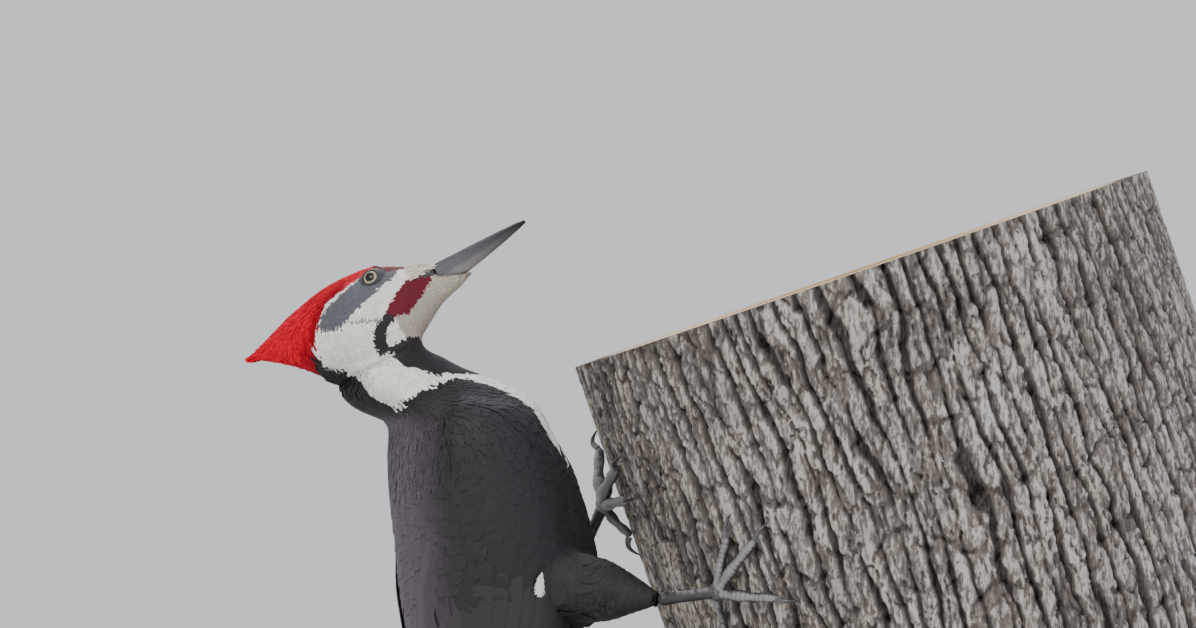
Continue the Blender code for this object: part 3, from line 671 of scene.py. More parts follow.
skin_faces = np.concatenate([skin_faces, lid_faces + len(shell)])
skin = new_piece("skin", np.concatenate([shell, lid_points]), skin_faces, bare_skin)
bpy.data.meshes.remove(skin_mesh)
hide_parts("head", "crest", "neck", "trunk", "wing_left", "wing_right", "thigh_left", "thigh_right")
lid_tone = np.tile(np.array(hex_colour("#4b4c50")[:3]), (len(lid_points), 1))
lid_ring = np.tile(np.repeat(np.arange(len(LID)), LID_SIDES), 2)
lid_tone[lid_ring < 3] = hex_colour("#262527")[:3]
lid_tone[lid_ring > 4] = hex_colour("#4d5159")[:3]
paint(skin, "plumage", np.concatenate([markings(shell) * 0.8, lid_tone]))

# Its own unwrap, which every tuft of plumage takes its place on.
bpy.context.view_layer.objects.active = skin
skin.select_set(True)
bpy.ops.object.mode_set(mode="EDIT")
bpy.ops.mesh.select_all(action="SELECT")
bpy.ops.uv.smart_project(angle_limit=math.radians(66), island_margin=0.002)
bpy.ops.object.mode_set(mode="OBJECT")
skin.select_set(False)
skin.data.uv_layers[0].name = "OFBake"

# ---- Eyes ----------------------------------------------------------------------------------------------
# Glass eyes as a model maker sets them: a black pupil, a pale straw iris with fine spokes and a dark
# rim, under one clear wet-looking dome.

EYE_ROWS, EYE_SIDES, GLASS_RADIUS = 40, 64, EYE_RADIUS - 0.12
# Painted glass: dark pupil, pale straw iris, a clear coat for the wet highlight.
glass_eye, tree = new_finish(
    "painted_glass_eye", Roughness=0.25, IOR=1.5, Specular_IOR_Level=0.2,
    Coat_Weight=0.5, Coat_Roughness=0.02,
)
off_axis = add(tree, "Attribute", out="Fac", attribute_name="off_axis")
spoke = add(tree, "Attribute", out="Fac", attribute_name="spoke")
threads = add(tree, "TexNoise", {"W": spoke, "Scale": 9.0, "Detail": 3}, noise_dimensions="1D")
shift = add(tree, "Math", {0: threads, 1: 0.35, 2: off_axis}, operation="MULTIPLY_ADD")
scaled = add(tree, "Math", {0: shift, 1: 0.2}, operation="MULTIPLY")
add(
    tree, "ValToRGB", {"Fac": scaled},
    stops=((0.0, "#050505"), (1.0, "#151312"), (0.42, "#060606"), (0.45, "#6b604a"), (0.52, "#a99e82"),
           (0.62, "#c2b9a2"), (0.66, "#6a6050"), (0.69, "#1b1816")), into="Base Color",
)
for side, way in (("left", -1), ("right", 1)):
    angle = np.linspace(0, math.pi, EYE_ROWS)[:, None]
    around = np.arange(EYE_SIDES)[None, :] * 2 * math.pi / EYE_SIDES
    cornea = 0.35 * np.exp(-((angle / 0.42) ** 2))  # the clear dome stands out over the iris
    off, out = GLASS_RADIUS * np.sin(angle), GLASS_RADIUS * np.cos(angle) + cornea
    rings = in_head(off * np.cos(around), way * (EYE_OUT + out + 0 * around), off * np.sin(around))
    faces = net(EYE_ROWS, EYE_SIDES, True)
    faces = faces if way < 0 else faces[:, ::-1]
    eye = new_piece("eye_" + side + "_glass", rings.reshape(-1, 3), faces, glass_eye)
    paint(eye, "off_axis", np.broadcast_to(np.where(angle < 1.5, off, 9), rings.shape[:2]).ravel())
    spokes = 6 * np.sin(around) + 4 * np.cos(3 * around)
    paint(eye, "spoke", np.broadcast_to(spokes, rings.shape[:2]).ravel())
    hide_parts("eye_" + side)

# ---- Bill ----------------------------------------------------------------------------------------------
# A straight chisel in two halves that meet along the gape line: bone sheathed in horn, slate-black along
# the ridge and tip, and paler, bone-grey horn below, with a ridge along each side of the upper half.

# Share of the length, half width, height of the ridge above the gape line, depth of the keel below it.
BILL = [(0, 6.4, 6.6, 5.2), (0.25, 5.3, 5.4, 4.6), (0.5, 4, 4.1, 3.6), (0.75, 2.7, 2.7, 2.3),
        (0.93, 1.6, 1.5, 1.1), (1, 1.1, 0.6, 0.5)]
BILL_ROOT, BILL_RISE, BILL_LENGTH = (26, -11.4), 0.03, 44
BILL_ROWS, BILL_SIDES = 72, 29

# Horn: satin, streaked along its growth every 1 mm, with a paler edge along the gape.
# For each half: its way from the gape, its groove's place across, width, end and depth, the shares
# between which it darkens to the tip, and its colours from the gape outwards.
for name, way, (groove_at, groove_wide, groove_end, groove_deep), darkens, tones in (
    ("bill_upper", 1, (0.62, 0.12, 0.7, 0.12), (0.05, 0.85),
     ((0.0, "#6b696c"), (1.0, "#1c1d23"), (0.15, "#515158"), (0.5, "#3a3b44"))),
    ("bill_lower", -1, (0.8, 0.08, 0.9, 0.1), (0.2, 0.95),
     ((0.0, "#5b5a5c"), (1.0, "#84807d"), (0.3, "#55565d"), (0.6, "#706f73"))),
):
    horn, tree = new_finish("streaked_horn_" + name[5:], Roughness=0.5, IOR=1.54, Specular_IOR_Level=0.16)
    rise = add(tree, "Attribute", out="Fac", attribute_name="rise")
    reach = add(tree, "Attribute", out="Fac", attribute_name="reach")
    flat = add(tree, "CombineXYZ", {0: reach, 1: rise})
    long = add(tree, "Mapping", {"Vector": flat, "Scale": (3, 16, 1)})
    streak = add(tree, "TexNoise", {"Vector": long, "Scale": 1, "Detail": 5})
    level = add(tree, "Math", {0: streak, 1: 0.35, 2: rise}, operation="MULTIPLY_ADD")
    level = add(tree, "Math", {0: level, 1: 0.17}, operation="SUBTRACT")
    sheath = add(tree, "ValToRGB", {"Fac": level}, stops=tones)
    tipped = add(
        tree, "MapRange", {"Value": reach, "From Min": darkens[0], "From Max": darkens[1], "To Max": 0.95}
    )
    near_black = hex_colour("#1b1c20")
    add(tree, "Mix", {0: tipped, 6: sheath, 7: near_black}, out=2, into="Base Color", data_type="RGBA")
    add(tree, "Bump", {"Height": streak, "Strength": 0.3, "Distance": 0.0003}, into="Normal")

    share = np.linspace(0, 1, BILL_ROWS)
    _, wide, ridge, keel = reading(BILL, share).T
    tall = (ridge if way > 0 else keel)[:, None]
    across = np.linspace(-1, 1, BILL_SIDES)[None, :]
    arch = (1 - abs(across) ** 1.9) ** 0.72
    # A groove along each side that starts at the root and dies out towards the tip.
    groove = np.exp(-(((abs(across) - groove_at) / groove_wide) ** 2))
    arch = arch * (1 - groove_deep * (groove * np.clip(1 - share[:, None] / groove_end, 0, 1)))
    line = BILL_ROOT[1] + BILL_RISE * share[:, None] * BILL_LENGTH + way * 0.1
    ahead = BILL_ROOT[0] + share[:, None] * BILL_LENGTH + 0 * across
    shape = in_head(ahead, wide[:, None] * across, line + way * tall * arch)
    under = in_head(ahead, wide[:, None] * across[:, ::-1] * 0.97, line - way * 0.02 + 0 * across)
    rings = np.concatenate([shape, under], axis=1)
    body = net(BILL_ROWS, 2 * BILL_SIDES, True)
    body = np.concatenate([body, caps(BILL_ROWS, 2 * BILL_SIDES)])
    half = new_piece(name + "_horn", rings.reshape(-1, 3), body, horn)
    half.data.set_sharp_from_angle(angle=math.radians(40))
    rise_there = np.concatenate([arch * np.ones_like(shape[..., 0]), 0 * shape[..., 0]], axis=1)
    paint(half, "rise", rise_there.ravel())
    paint(half, "reach", np.repeat(share, 2 * BILL_SIDES))
    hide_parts(name)

# ---- Plumage of the head, neck and body ------------------------------------------------------------------
# Thousands of small keratin feathers rooted in the skin, each a thin vane either side of a quill with its
# margin frayed into barbs. They lap like slates from the bill back to the tail, shortest on the face,
# longer down the neck and longest on the back and over the folded wings.

skin.data.calc_loop_triangles()
count = len(skin.data.loop_triangles)
tri, tri_loops = np.empty(3 * count, dtype=np.int32), np.empty(3 * count, dtype=np.int32)
skin.data.loop_triangles.foreach_get("vertices", tri)
skin.data.loop_triangles.foreach_get("loops", tri_loops)
tri, tri_loops = tri.reshape(-1, 3), tri_loops.reshape(-1, 3)
unwrap = np.empty(2 * len(skin.data.loops), dtype=np.float32)
skin.data.uv_layers["OFBake"].data.foreach_get("uv", unwrap)
unwrap = unwrap.reshape(-1, 2)
skin_points, skin_normals = points_of(skin.data), normals_of(skin.data)
rootable = np.concatenate([np.ones(len(shell), dtype=bool), lid_ring > 2])
keep = rootable[tri].all(axis=1)
tri, tri_loops = tri[keep], tri_loops[keep]
surface = BVHTree.FromPolygons(skin_points.tolist(), tri.tolist())
corner = skin_points[tri]
tri_area = size_of(np.cross(corner[:, 1] - corner[:, 0], corner[:, 2] - corner[:, 0])) / 2


def lay_line(points):
    """Places and directions every few millimetres along one line of the lie of the plumage."""
    at = np.linspace(0, len(points) - 1, 10 * len(points))
    line = between(points, at)
    return line, np.gradient(line, axis=0)


# Lines in the bird's middle plane, ahead and up in the head and then in the body: through its middle, over
# the crown, down the throat and belly, and down the nape and back. Each thigh has one of its own.
lie = [
    lay_line([in_head(u, 0, w) for u, w in head] + [in_body(u, 0, w) for u, w in body]) for head, body in (
        ([(38, -12), (14, -7), (-10, -8), (-26, -20)],
         [(-54, 56), (-41, 53), (-30, 46), (-14, 32), (-5, 8), (1, -20), (8, -55), (22, -92), (52, -120),
          (80, -140)]),
        ([(16, 1), (0, 10), (-22, 11), (-45, 7), (-68, 5)], []),
        ([(38, -18), (16, -24), (2, -33)],
         [(-30, 62), (-8, 56), (22, 42), (36, 10), (44, -30), (44, -70), (58, -118)]),
        ([(-30, 0), (-40, -14)], [(-68, 50), (-56, 38), (-46, 15), (-44, -15), (-34, -60), (0, -100)]),
    )
]
for side in ("right", "left"):
    lie.append(lay_line([in_body(*HIP[side]), in_body(*ANKLE[side])]))
lie_points = np.concatenate([line for line, _ in lie])
lie_ways = unit(np.concatenate([way for _, way in lie]))
lie_reach = np.concatenate([np.full(len(line), 9.0 if k < 4 else 7.0) for k, (line, _) in enumerate(lie)])


def combed(points, normals):
    """Which way the plumage lies at places on the skin."""
    ways = np.empty_like(points)
    for start in range(0, len(points), 4000):
        part = slice(start, start + 4000)
        far = ((points[part, None, :] - lie_points[None]) ** 2).sum(axis=2)
        weight = np.exp(-(far - far.min(axis=1)[:, None]) / (2 * lie_reach**2)[None])
        ways[part] = weight @ lie_ways
    u, v, w = from_eyes(points)  # round the eyes it parts and passes either side
    off = u[:, None] * BILL_WAY + w[:, None] * CROWN_WAY
    far = np.maximum(size_of(off), 0.1)
    inward = np.maximum(-(ways * off).sum(axis=1) / far, 0) * ease(9, 4.5, far) * (abs(v) > 7)
    ways += 1.15 * inward[:, None] * off / far[:, None]
    ways -= normals * (ways * normals).sum(axis=1)[:, None]
    return unit(ways)


def on_skin(points):
    """The nearest places on the skin, and the triangles they lie in."""
    places, faces = np.empty_like(points), np.empty(len(points), dtype=int)
    for k, p in enumerate(points):
        places[k], _, faces[k], _ = surface.find_nearest(p)
    return places, faces


def smooth_normals(places, faces):
    """Normals of the skin blended over each triangle."""
    a, b, c = (skin_points[tri[faces, k]] for k in range(3))
    whole = np.maximum(size_of(np.cross(b - a, c - a)), 1e-9)
    wa = size_of(np.cross(b - places, c - places)) / whole
    wb = size_of(np.cross(c - places, a - places)) / whole
    wc = np.clip(1 - wa - wb, 0, 1)
    found = sum(w[:, None] * skin_normals[tri[faces, k]] for k, w in enumerate((wa, wb, wc)))
    return unit(found)


def spread(wanted, spacing_of, seed):
    """Roots over the wanted skin, no two nearer than their spacing: places, triangles, unwrap places."""
    rng = np.random.default_rng(seed)
    middle = corner.mean(axis=1)
    spacing = spacing_of(middle)
    weight = np.where(wanted(middle), tri_area / spacing**2, 0)
    total = int(3.2 * weight.sum())
    faces = rng.choice(len(tri), total, p=weight / weight.sum())
    a, b = rng.random(total), rng.random(total)
    a, b = np.where(a + b > 1, 1 - a, a), np.where(a + b > 1, 1 - b, b)
    share = np.stack([1 - a - b, a, b], axis=1)
    places = (corner[faces] * share[..., None]).sum(axis=1)
    near = spacing[faces] * 0.86
    tree = KDTree(total)
    for k, p in enumerate(places):
        tree.insert(p, k)
    tree.balance()
    taken, kept = np.zeros(total, dtype=bool), []
    for k in range(total):
        if not taken[k]:
            kept.append(k)
            for _, other, _ in tree.find_range(places[k], near[k]):
                taken[other] = True
    maps = (unwrap[tri_loops[faces[kept]]] * share[kept, :, None]).sum(axis=1)
    return places[kept], faces[kept], maps


def comb(places, faces, lengths, rows, stray, rng, free=lambda p: np.zeros(len(p), dtype=bool)):
    """Quill lines laid over the skin from each root: points and normals, feather by feather, row by row."""
    normals = smooth_normals(places, faces)
    line, up = [places], [normals]
    turn = rng.normal(0, stray, len(places))
    for k in range(rows - 1):
        way = combed(line[-1], up[-1])
        way = way * np.cos(turn)[:, None] + np.cross(up[-1], way) * np.sin(turn)[:, None]
        ahead = line[-1] + way * (lengths / (rows - 1))[:, None]
        place, face = on_skin(ahead)
        step = place - line[-1]
        stretch = (lengths / (rows - 1)) / np.maximum(size_of(step), 1e-3)
        keep = size_of(place - ahead) < 0.6 * lengths / (rows - 1) + 0.5
        keep &= ~free(ahead)
        place = np.where(keep[:, None], line[-1] + step * np.clip(stretch, 1, 1.3)[:, None], ahead)
        line.append(place)
        up.append(np.where(keep[:, None], smooth_normals(place, face), up[-1]))
    return np.stack(line, axis=1), np.stack(up, axis=1)


def vanes(line, up, half_width, outline, lift, fray, camber, rng, webbed=False):
    """Thin vanes either side of each quill line with barbs at the margin: points, triangles, (across,
    along) at each point, and how many points a feather has."""
    count, rows = line.shape[:2]
    share = np.linspace(0, 1, rows)
    way = unit(np.gradient(line, axis=1))
    side = unit(np.cross(way, up))
    wide = half_width[:, None] * outline(share)[None]
    middle = line + up * lift

    def spots(across, along):
        return np.stack(np.broadcast_arrays(across, along[None] * np.ones((count, 1))), axis=-1)

    cells, flat = [middle], [spots(0.0, share)]
    for s in (-1, 1):
        swept = 0.45 * wide[..., None] * way
        bowed = up * camber * wide[..., None] * 0.5
        cells.append(middle + s * side * 0.72 * wide[..., None] + swept - bowed)
        flat.append(spots(s * 0.72, share))
    for s, edge in ((-1, cells[1]), (1, cells[2])):
        mid = 0.5 * (edge[:, 1:] + edge[:, :-1])
        w = 0.5 * (wide[:, 1:] + wide[:, :-1])
        ruffle = 1 + rng.normal(0, 1, w.shape) * np.minimum(0.35, 0.9 * fray)[:, None]
        poke = (0.28 + fray)[:, None] * w * np.clip(ruffle, 0.3, 2)
        forward = way[:, 1:] * (poke * (1.1 + fray[:, None]))[..., None]
        tuft = mid + s * side[:, 1:] * poke[..., None] + forward
        tuft = tuft - up[:, 1:] * (camber * poke * 0.8)[..., None]
        cells.append(tuft + up[:, 1:] * (rng.normal(0, 0.25, w.shape) * fray[:, None] * w)[..., None])
        flat.append(spots(s * 1.0, share[1:]))
    past = (0.5 + fray) * np.maximum(half_width * 0.6, wide[:, -1])
    cells.append(middle[:, -1:] + way[:, -1:] * past[:, None, None])
    flat.append(np.broadcast_to(np.array([0.0, 1.1]), (count, 1, 2)))
    points, flat = np.concatenate(cells, axis=1), np.concatenate(flat, axis=1)
    faces, r = [], rows
    for k in range(r - 1):
        for a, b in ((r + k, k), (k, 2 * r + k)):
            faces += [(a, b, b + 1), (a, b + 1, a + 1)]
        faces += [(r + k, r + k + 1, 3 * r + k), (2 * r + k + 1, 2 * r + k, 4 * r - 1 + k)]
    if webbed:  # the margin runs on smoothly from barb to barb
        for k in range(r - 2):
            faces += [(r + k + 1, 3 * r + k + 1, 3 * r + k), (2 * r + k + 1, 4 * r - 1 + k, 4 * r + k)]
    last = 5 * r - 2
    faces += [(2 * r - 1, r - 1, last), (r - 1, 3 * r - 1, last)]
    each = points.shape[1]
    faces = (np.arange(count)[:, None, None] * each + np.array(faces)[None]).reshape(-1, 3)
    return points.reshape(-1, 3), faces, flat.reshape(-1, 2), each


BAKE_PATCH = 0.003


def plumage(name, finish, made, maps, tones, lengths, shading=None):
    """One coat piece from vanes or blades: its colour by feather, darker at the root, and its bake map as
    patches on the skin's unwrap."""
    points, faces, flat, each = made
    piece = new_piece(name, points, faces, finish, shading=shading)
    across, along = flat.T
    paint(piece, "plumage", np.repeat(tones, each, axis=0) * (0.92 + 0.09 * np.clip(along, 0, 1))[:, None])
    strand = np.repeat(np.arange(len(tones)) % 97, each)
    vane = np.stack([across, along * np.repeat(lengths, each), strand], axis=1).astype(np.float32)
    piece.data.attributes.new("vane", "FLOAT_VECTOR", "POINT").data.foreach_set("vector", vane.ravel())
    patch = np.repeat(maps, each, axis=0) + BAKE_PATCH * np.stack([across / 2, along - 0.5], axis=1)
    layer = piece.data.uv_layers.new(name="OFBake")
    layer.data.foreach_set("uv", patch[faces.ravel()].astype(np.float32).ravel())
    return piece


def feather_finish(name, gloss, tint, **surface):
    """Feather keratin: soft and silky, with barbs slanting out from the quill every 0.9 mm, drawn coarser
    than life so that they show."""
    made, tree = new_finish(
        name, Roughness=gloss, IOR=1.5, Sheen_Roughness=0.45, Sheen_Tint=hex_colour(tint), **surface
    )
    dyed = add(tree, "Attribute", out="Color", attribute_name="plumage")
    vane = add(tree, "Attribute", out="Vector", attribute_name="vane")
    across, along, feather = add(tree, "SeparateXYZ", {0: vane}).node.outputs
    away = add(tree, "Math", {0: across}, operation="ABSOLUTE")
    slant = add(tree, "Math", {0: away, 1: -2.4, 2: along}, operation="MULTIPLY_ADD")
    both = add(tree, "CombineXYZ", {0: slant, 1: feather})
    fine = add(tree, "Mapping", {"Vector": both, "Scale": (1.1, 7, 1)})
    barbs = add(tree, "TexNoise", {"Vector": fine, "Scale": 1, "Detail": 3, "Roughness": 0.7})
    span = {"From Min": 0.3, "From Max": 0.7, "To Min": 0.72, "To Max": 1.15}
    shade = add(tree, "MapRange", {"Value": barbs, **span})
    add(
        tree, "Mix", {0: 1.0, 6: dyed, 7: shade}, out=2, into="Base Color", data_type="RGBA",
        blend_type="MULTIPLY",
    )
    add(tree, "Bump", {"Height": barbs, "Strength": 0.4, "Distance": 0.0003}, into="Normal")
    return made


contour_feather = feather_finish(
    "silky_contour_feather", 0.6, "#b9a8c0", Sheen_Weight=0.05, Specular_IOR_Level=0.25
)


def silken(up, way, flat, each):
    """Light's directions for soft plumage: mostly the skin's own, tipped a little by each vane's camber."""
    side = np.cross(way, up)
    across = flat[:each, 0]
    rows = np.clip(np.round(flat[:each, 1] * (up.shape[1] - 1)).astype(int), 0, up.shape[1] - 1)
    found = up[:, rows] + 0.22 * across[None, :, None] * side[:, rows]
    return unit(found).reshape(-1, 3)


def head_share(points):
    """1 on the face, 0 from the base of the neck down."""
    far = size_of(points - in_head(6, 0, -8))
    return 1 - ease(14, 78, far)


def in_crest(points):
    u, _, w = from_eyes(points)
    return (w > np.interp(u, *zip(*RED_EDGE)) + 0.5) & (u < 9)


def clear_of_eyes(points):
    u, v, w = from_eyes(points)
    return np.hypot(u / 1.1, w / 0.95) > np.where(abs(v) > 6, 3.7, 0)


def eye_gap(points):
    """How far places are from the nearer eye's axis."""
    u, v, w = from_eyes(points)
    return np.hypot(u, w) + 60 * (abs(v) < 5)


def on_thigh(points):
    """Where the skin belongs to a thigh, which stands clear of the wing."""
    found = np.zeros(len(points), dtype=bool)
    for side in ("right", "left"):
        hip, ankle = in_body(*HIP[side]), in_body(*ANKLE[side])
        along = np.clip((points - hip) @ (ankle - hip) / ((ankle - hip) @ (ankle - hip)), 0, 1)
        off = size_of(points - hip - along[:, None] * (ankle - hip))
        found |= (off < 19 - 8 * along) & (along > 0.3)
    return found


def grade(points):
    """Size of the feathers there: smallest on the face, then the neck, the body, and the wing coverts."""
    face = np.interp(head_share(points), (0, 0.35, 0.7, 1), (0.85, 0.45, 0.3, 0.2))
    return face * np.where(on_thigh(points), 0.68, 1 + 0.55 * ease(0.08, 0.4, wing_share(points)))


def on_wing_end(points):
    """Where the skin of the folded wing's arm comes to its end, under the long quills."""
    at, turn, share, _, _ = wing_place(points)
    base, above = round_body(WING_LINE, at, turn, 0.0), round_body(WING_LINE, at, turn, 1.0)
    return (share > 0.5) & (((points - base) * (above - base)).sum(axis=1) > 0.3)


def under_quills(points):
    """Where the folded wing's long quills cover the skin and no small feathers grow."""
    _, turn, share, back, belly = wing_place(points)
    return ~on_thigh(points) & (share > 0.4) & (abs(turn) > back + 7) & (abs(turn) < belly - 5)


def on_face(points):
    return (head_share(points) > 0.5) & ~in_crest(points) & clear_of_eyes(points)


def on_neck(points):
    return (head_share(points) <= 0.5) & (head_share(points) > 0.0) & ~in_crest(points)


def on_body(points):
    free = (head_share(points) <= 0.0) & ~in_crest(points)
    return free & ~under_quills(points) & ~on_wing_end(points)


LONGEST, LID_EDGE = 17, 2.6  # a contour feather, and how near the eye's axis the plumage comes
contour_coat = (
    # name, where, rows of points, spacing, half width for the length, fray where dark, unevenness, seed
    ("face_feathers", on_face, 5, 2.55, 0.14, 0.3, 0.04, 11),
    ("neck_feathers", on_neck, 7, 1.8, 0.085, 0.3, 0.12, 12),
    ("body_feathers", on_body, 9, 3.3, 0.26, 0.08, 0.04, 13),
)
for name, where, rows, spacing, slender, dark_fray, uneven, seed in contour_coat:
    rng = np.random.default_rng(seed)
    places, faces, maps = spread(where, lambda p: spacing * grade(p), seed)
    scale = grade(places)
    lengths = LONGEST * scale * rng.uniform(0.85, 1.15, len(places))
    lengths = np.minimum(lengths, 0.5 + 0.55 * np.maximum(eye_gap(places) - LID_EDGE, 0.6))
    ankle_gap = np.min([size_of(places - in_body(*ANKLE[side])) for side in ANKLE], axis=0)
    lengths = np.minimum(lengths, 2 + 0.4 * ankle_gap)  # short where the bare shanks come out
    line, up = comb(places, faces, lengths, rows, 0.08, rng)
    if name == "body_feathers":  # none stands off into the air where the skin ends
        lying = size_of(on_skin(line[:, -1])[0] - line[:, -1]) < 2.2
        for row in (rows // 2, -1):  # nor pokes out between the long quills
            lying &= ~(under_quills(line[:, row]) & (wing_share(line[:, row]) > 0.5))
        kept = (places, maps, scale, lengths, ankle_gap, line, up)
        places, maps, scale, lengths, ankle_gap, line, up = (each[lying] for each in kept)
    seen = 0.45 * places + 0.55 * line[:, -1] + rng.normal(0, 0.3, places.shape)
    tones = markings(seen)
    pale = tones.mean(axis=1) > 0.3
    tones = tones * rng.normal(1, np.where(pale, 0.07, uneven))[:, None]
    fray = np.where(pale, 0.6, dark_fray) * rng.uniform(0.6, 1.4, len(places))
    stand = 0.6 * coat_depth(places) * np.clip((ankle_gap - 4) / 16, 0.1, 1)
    stand = stand * np.minimum(1, eye_gap(places) / 9)
    stand = stand + 2.5 * np.exp(-((size_of(places - NAPE_HOLLOW) / 16) ** 2))
    rise = (-0.2 + stand[:, None] * np.linspace(0, 1, rows)[None])[..., None]
    half = np.minimum(LONGEST * scale * slender, 0.3 * lengths + 0.1)
    points, triangles, flat, each = vanes(
        line, up, half, lambda s: np.sin(np.pi * (0.14 + 0.8 * s)) ** 0.6, rise, fray, 0.2, rng,
        webbed=name == "body_feathers",
    )
    light = silken(up, unit(np.gradient(line, axis=1)), flat, each)
    for side in (1, -1):
        across = (places - BODY_AT) @ RIGHT if name == "body_feathers" else from_eyes(places)[1]
        mine = np.sign(across + 1e-9) == side
        vertices = np.repeat(mine, each)
        fresh = (np.cumsum(vertices) - 1)[triangles[vertices[triangles[:, 0]]]]
        plumage(
            f"{name}_{'right' if side > 0 else 'left'}", contour_feather,
            (points[vertices], fresh, flat[vertices], each), maps[mine], tones[mine], lengths[mine],
            light[vertices],
        )


def by_nostrils(points):
    u, _, w = from_eyes(points)
    return (u > 13.5) & (w > -11.3 + 0.45 * np.clip(u - 13, 0, 7))


# Bristly tufts of cream feathers, rooted round the bill and lying forwards over its nostrils.
rng = np.random.default_rng(23)
places, faces, maps = spread(by_nostrils, lambda p: 0.8 + 0 * p[:, 0], 23)
normals = smooth_normals(places, faces)
lengths = rng.uniform(3, 5.5, len(places))
way = BILL_WAY + 0.1 * normals + rng.normal(0, 0.12, places.shape)
way -= 0.85 * normals * (way * normals).sum(axis=1)[:, None]
way = unit(way)
share = np.linspace(0, 1, 5)
line = places[:, None] + (lengths[:, None] * share[None])[..., None] * way[:, None]
line = line + (0.8 * np.sin(share * 2.2))[None, :, None] * normals[:, None]
up = np.repeat(normals[:, None], 5, axis=1)
tones = np.tile(hex_colour(CREAM)[:3], (len(places), 1)) * rng.normal(1.02, 0.08, (len(places), 1))
half = rng.uniform(0.25, 0.42, len(places))
made = vanes(line, up, half, lambda s: 1 - 0.75 * s, 0, np.full(len(places), 0.5), 0.2, rng)
plumage("nasal_tufts", contour_feather, made, maps, tones, lengths)

# Crest: long silky feathers, loose-barbed, that sweep off the crown to a point behind the head.
rng = np.random.default_rng(31)
CREST_TIP, TIP_CLEAR = in_head(-69, 0, 5.5), 6


def near_tip(points):
    return size_of(points - CREST_TIP) < TIP_CLEAR


places, faces, maps = spread(
    lambda p: in_crest(p) & clear_of_eyes(p) & ~near_tip(p), lambda p: 0.95 + 0 * p[:, 0], 31
)
back = np.clip(-from_eyes(places)[0] / 60, 0, 1)
lengths = 7 + 15 * np.sin(math.pi * np.clip(back * 0.8 + 0.12, 0, 1))
lengths = lengths * rng.uniform(0.8, 1.15, len(places))
lengths = np.minimum(lengths, size_of(places - CREST_TIP))
lengths = np.minimum(lengths, 0.5 + 0.6 * np.maximum(eye_gap(places) - LID_EDGE, 0.6))
line, up = comb(places, faces, lengths, 7, 0.05, rng, near_tip)
gap = line - CREST_TIP  # the last of them draw together to a point
off = gap - (gap @ BILL_WAY)[..., None] * BILL_WAY
drawn = 0.55 * ease(11, 2, size_of(gap) + 1.5 * np.clip(gap @ BILL_WAY, 0, 20))
line = line - drawn[..., None] * off
tones = markings(0.3 * places + 0.7 * line[:, -1]) * rng.normal(1, 0.09, (len(places), 1))
rise = (-0.2 + (0.7 + 0.9 * back[:, None]) * np.linspace(0, 1, 7)[None] ** 1.3)[..., None]
made = vanes(
    line, up, 0.34 + 0.036 * lengths, lambda s: np.sin(np.pi * (0.14 + 0.83 * s)) ** 0.8, rise,
    rng.uniform(0.3, 0.7, len(places)), 0.3, rng,
)
silky_crest = feather_finish(
    "silky_red_crest_feather", 0.65, "#ff2a3a", Sheen_Weight=0.04, Specular_IOR_Level=0.1
)
light = silken(up, unit(np.gradient(line, axis=1)), *made[2:])
plumage("crest_feathers", silky_crest, made, maps, tones, lengths, light)

# ---- Flight feathers -------------------------------------------------------------------------------------
# Stiff keratin quills rooted in the wings' arms and the rump: nine primaries and twelve secondaries folded
# like a fan on each wing, and twelve propping tail feathers. Each is a closed blade about 0.3 mm thick with
# a raised quill. Three small white feathers lie over the roots of each wing's primaries.


def on_wing(side, share, across, level):
    """A place on a folded wing: its share down the length and across from the back's edge to the belly's,
    and its level through the wing, 0 on the body's side and 1 on the outer face."""
    _, back, belly, thick = np.moveaxis(reading(WING, share), -1, 0)
    at = np.interp(share * WING_LENGTH, wing_gone, wing_at)
    swell = 0.8 + (thick - 0.8) * np.sin(np.pi * np.clip(across, 0, 1)) ** 0.7
    return round_body(WING_LINE, at, side * (back + (belly - back) * across), WING_LIFT + swell * level)


ACROSS = np.array([-1, -0.82, -0.55, -0.28, -0.06, 0, 0.06, 0.28, 0.55, 0.82, 1])


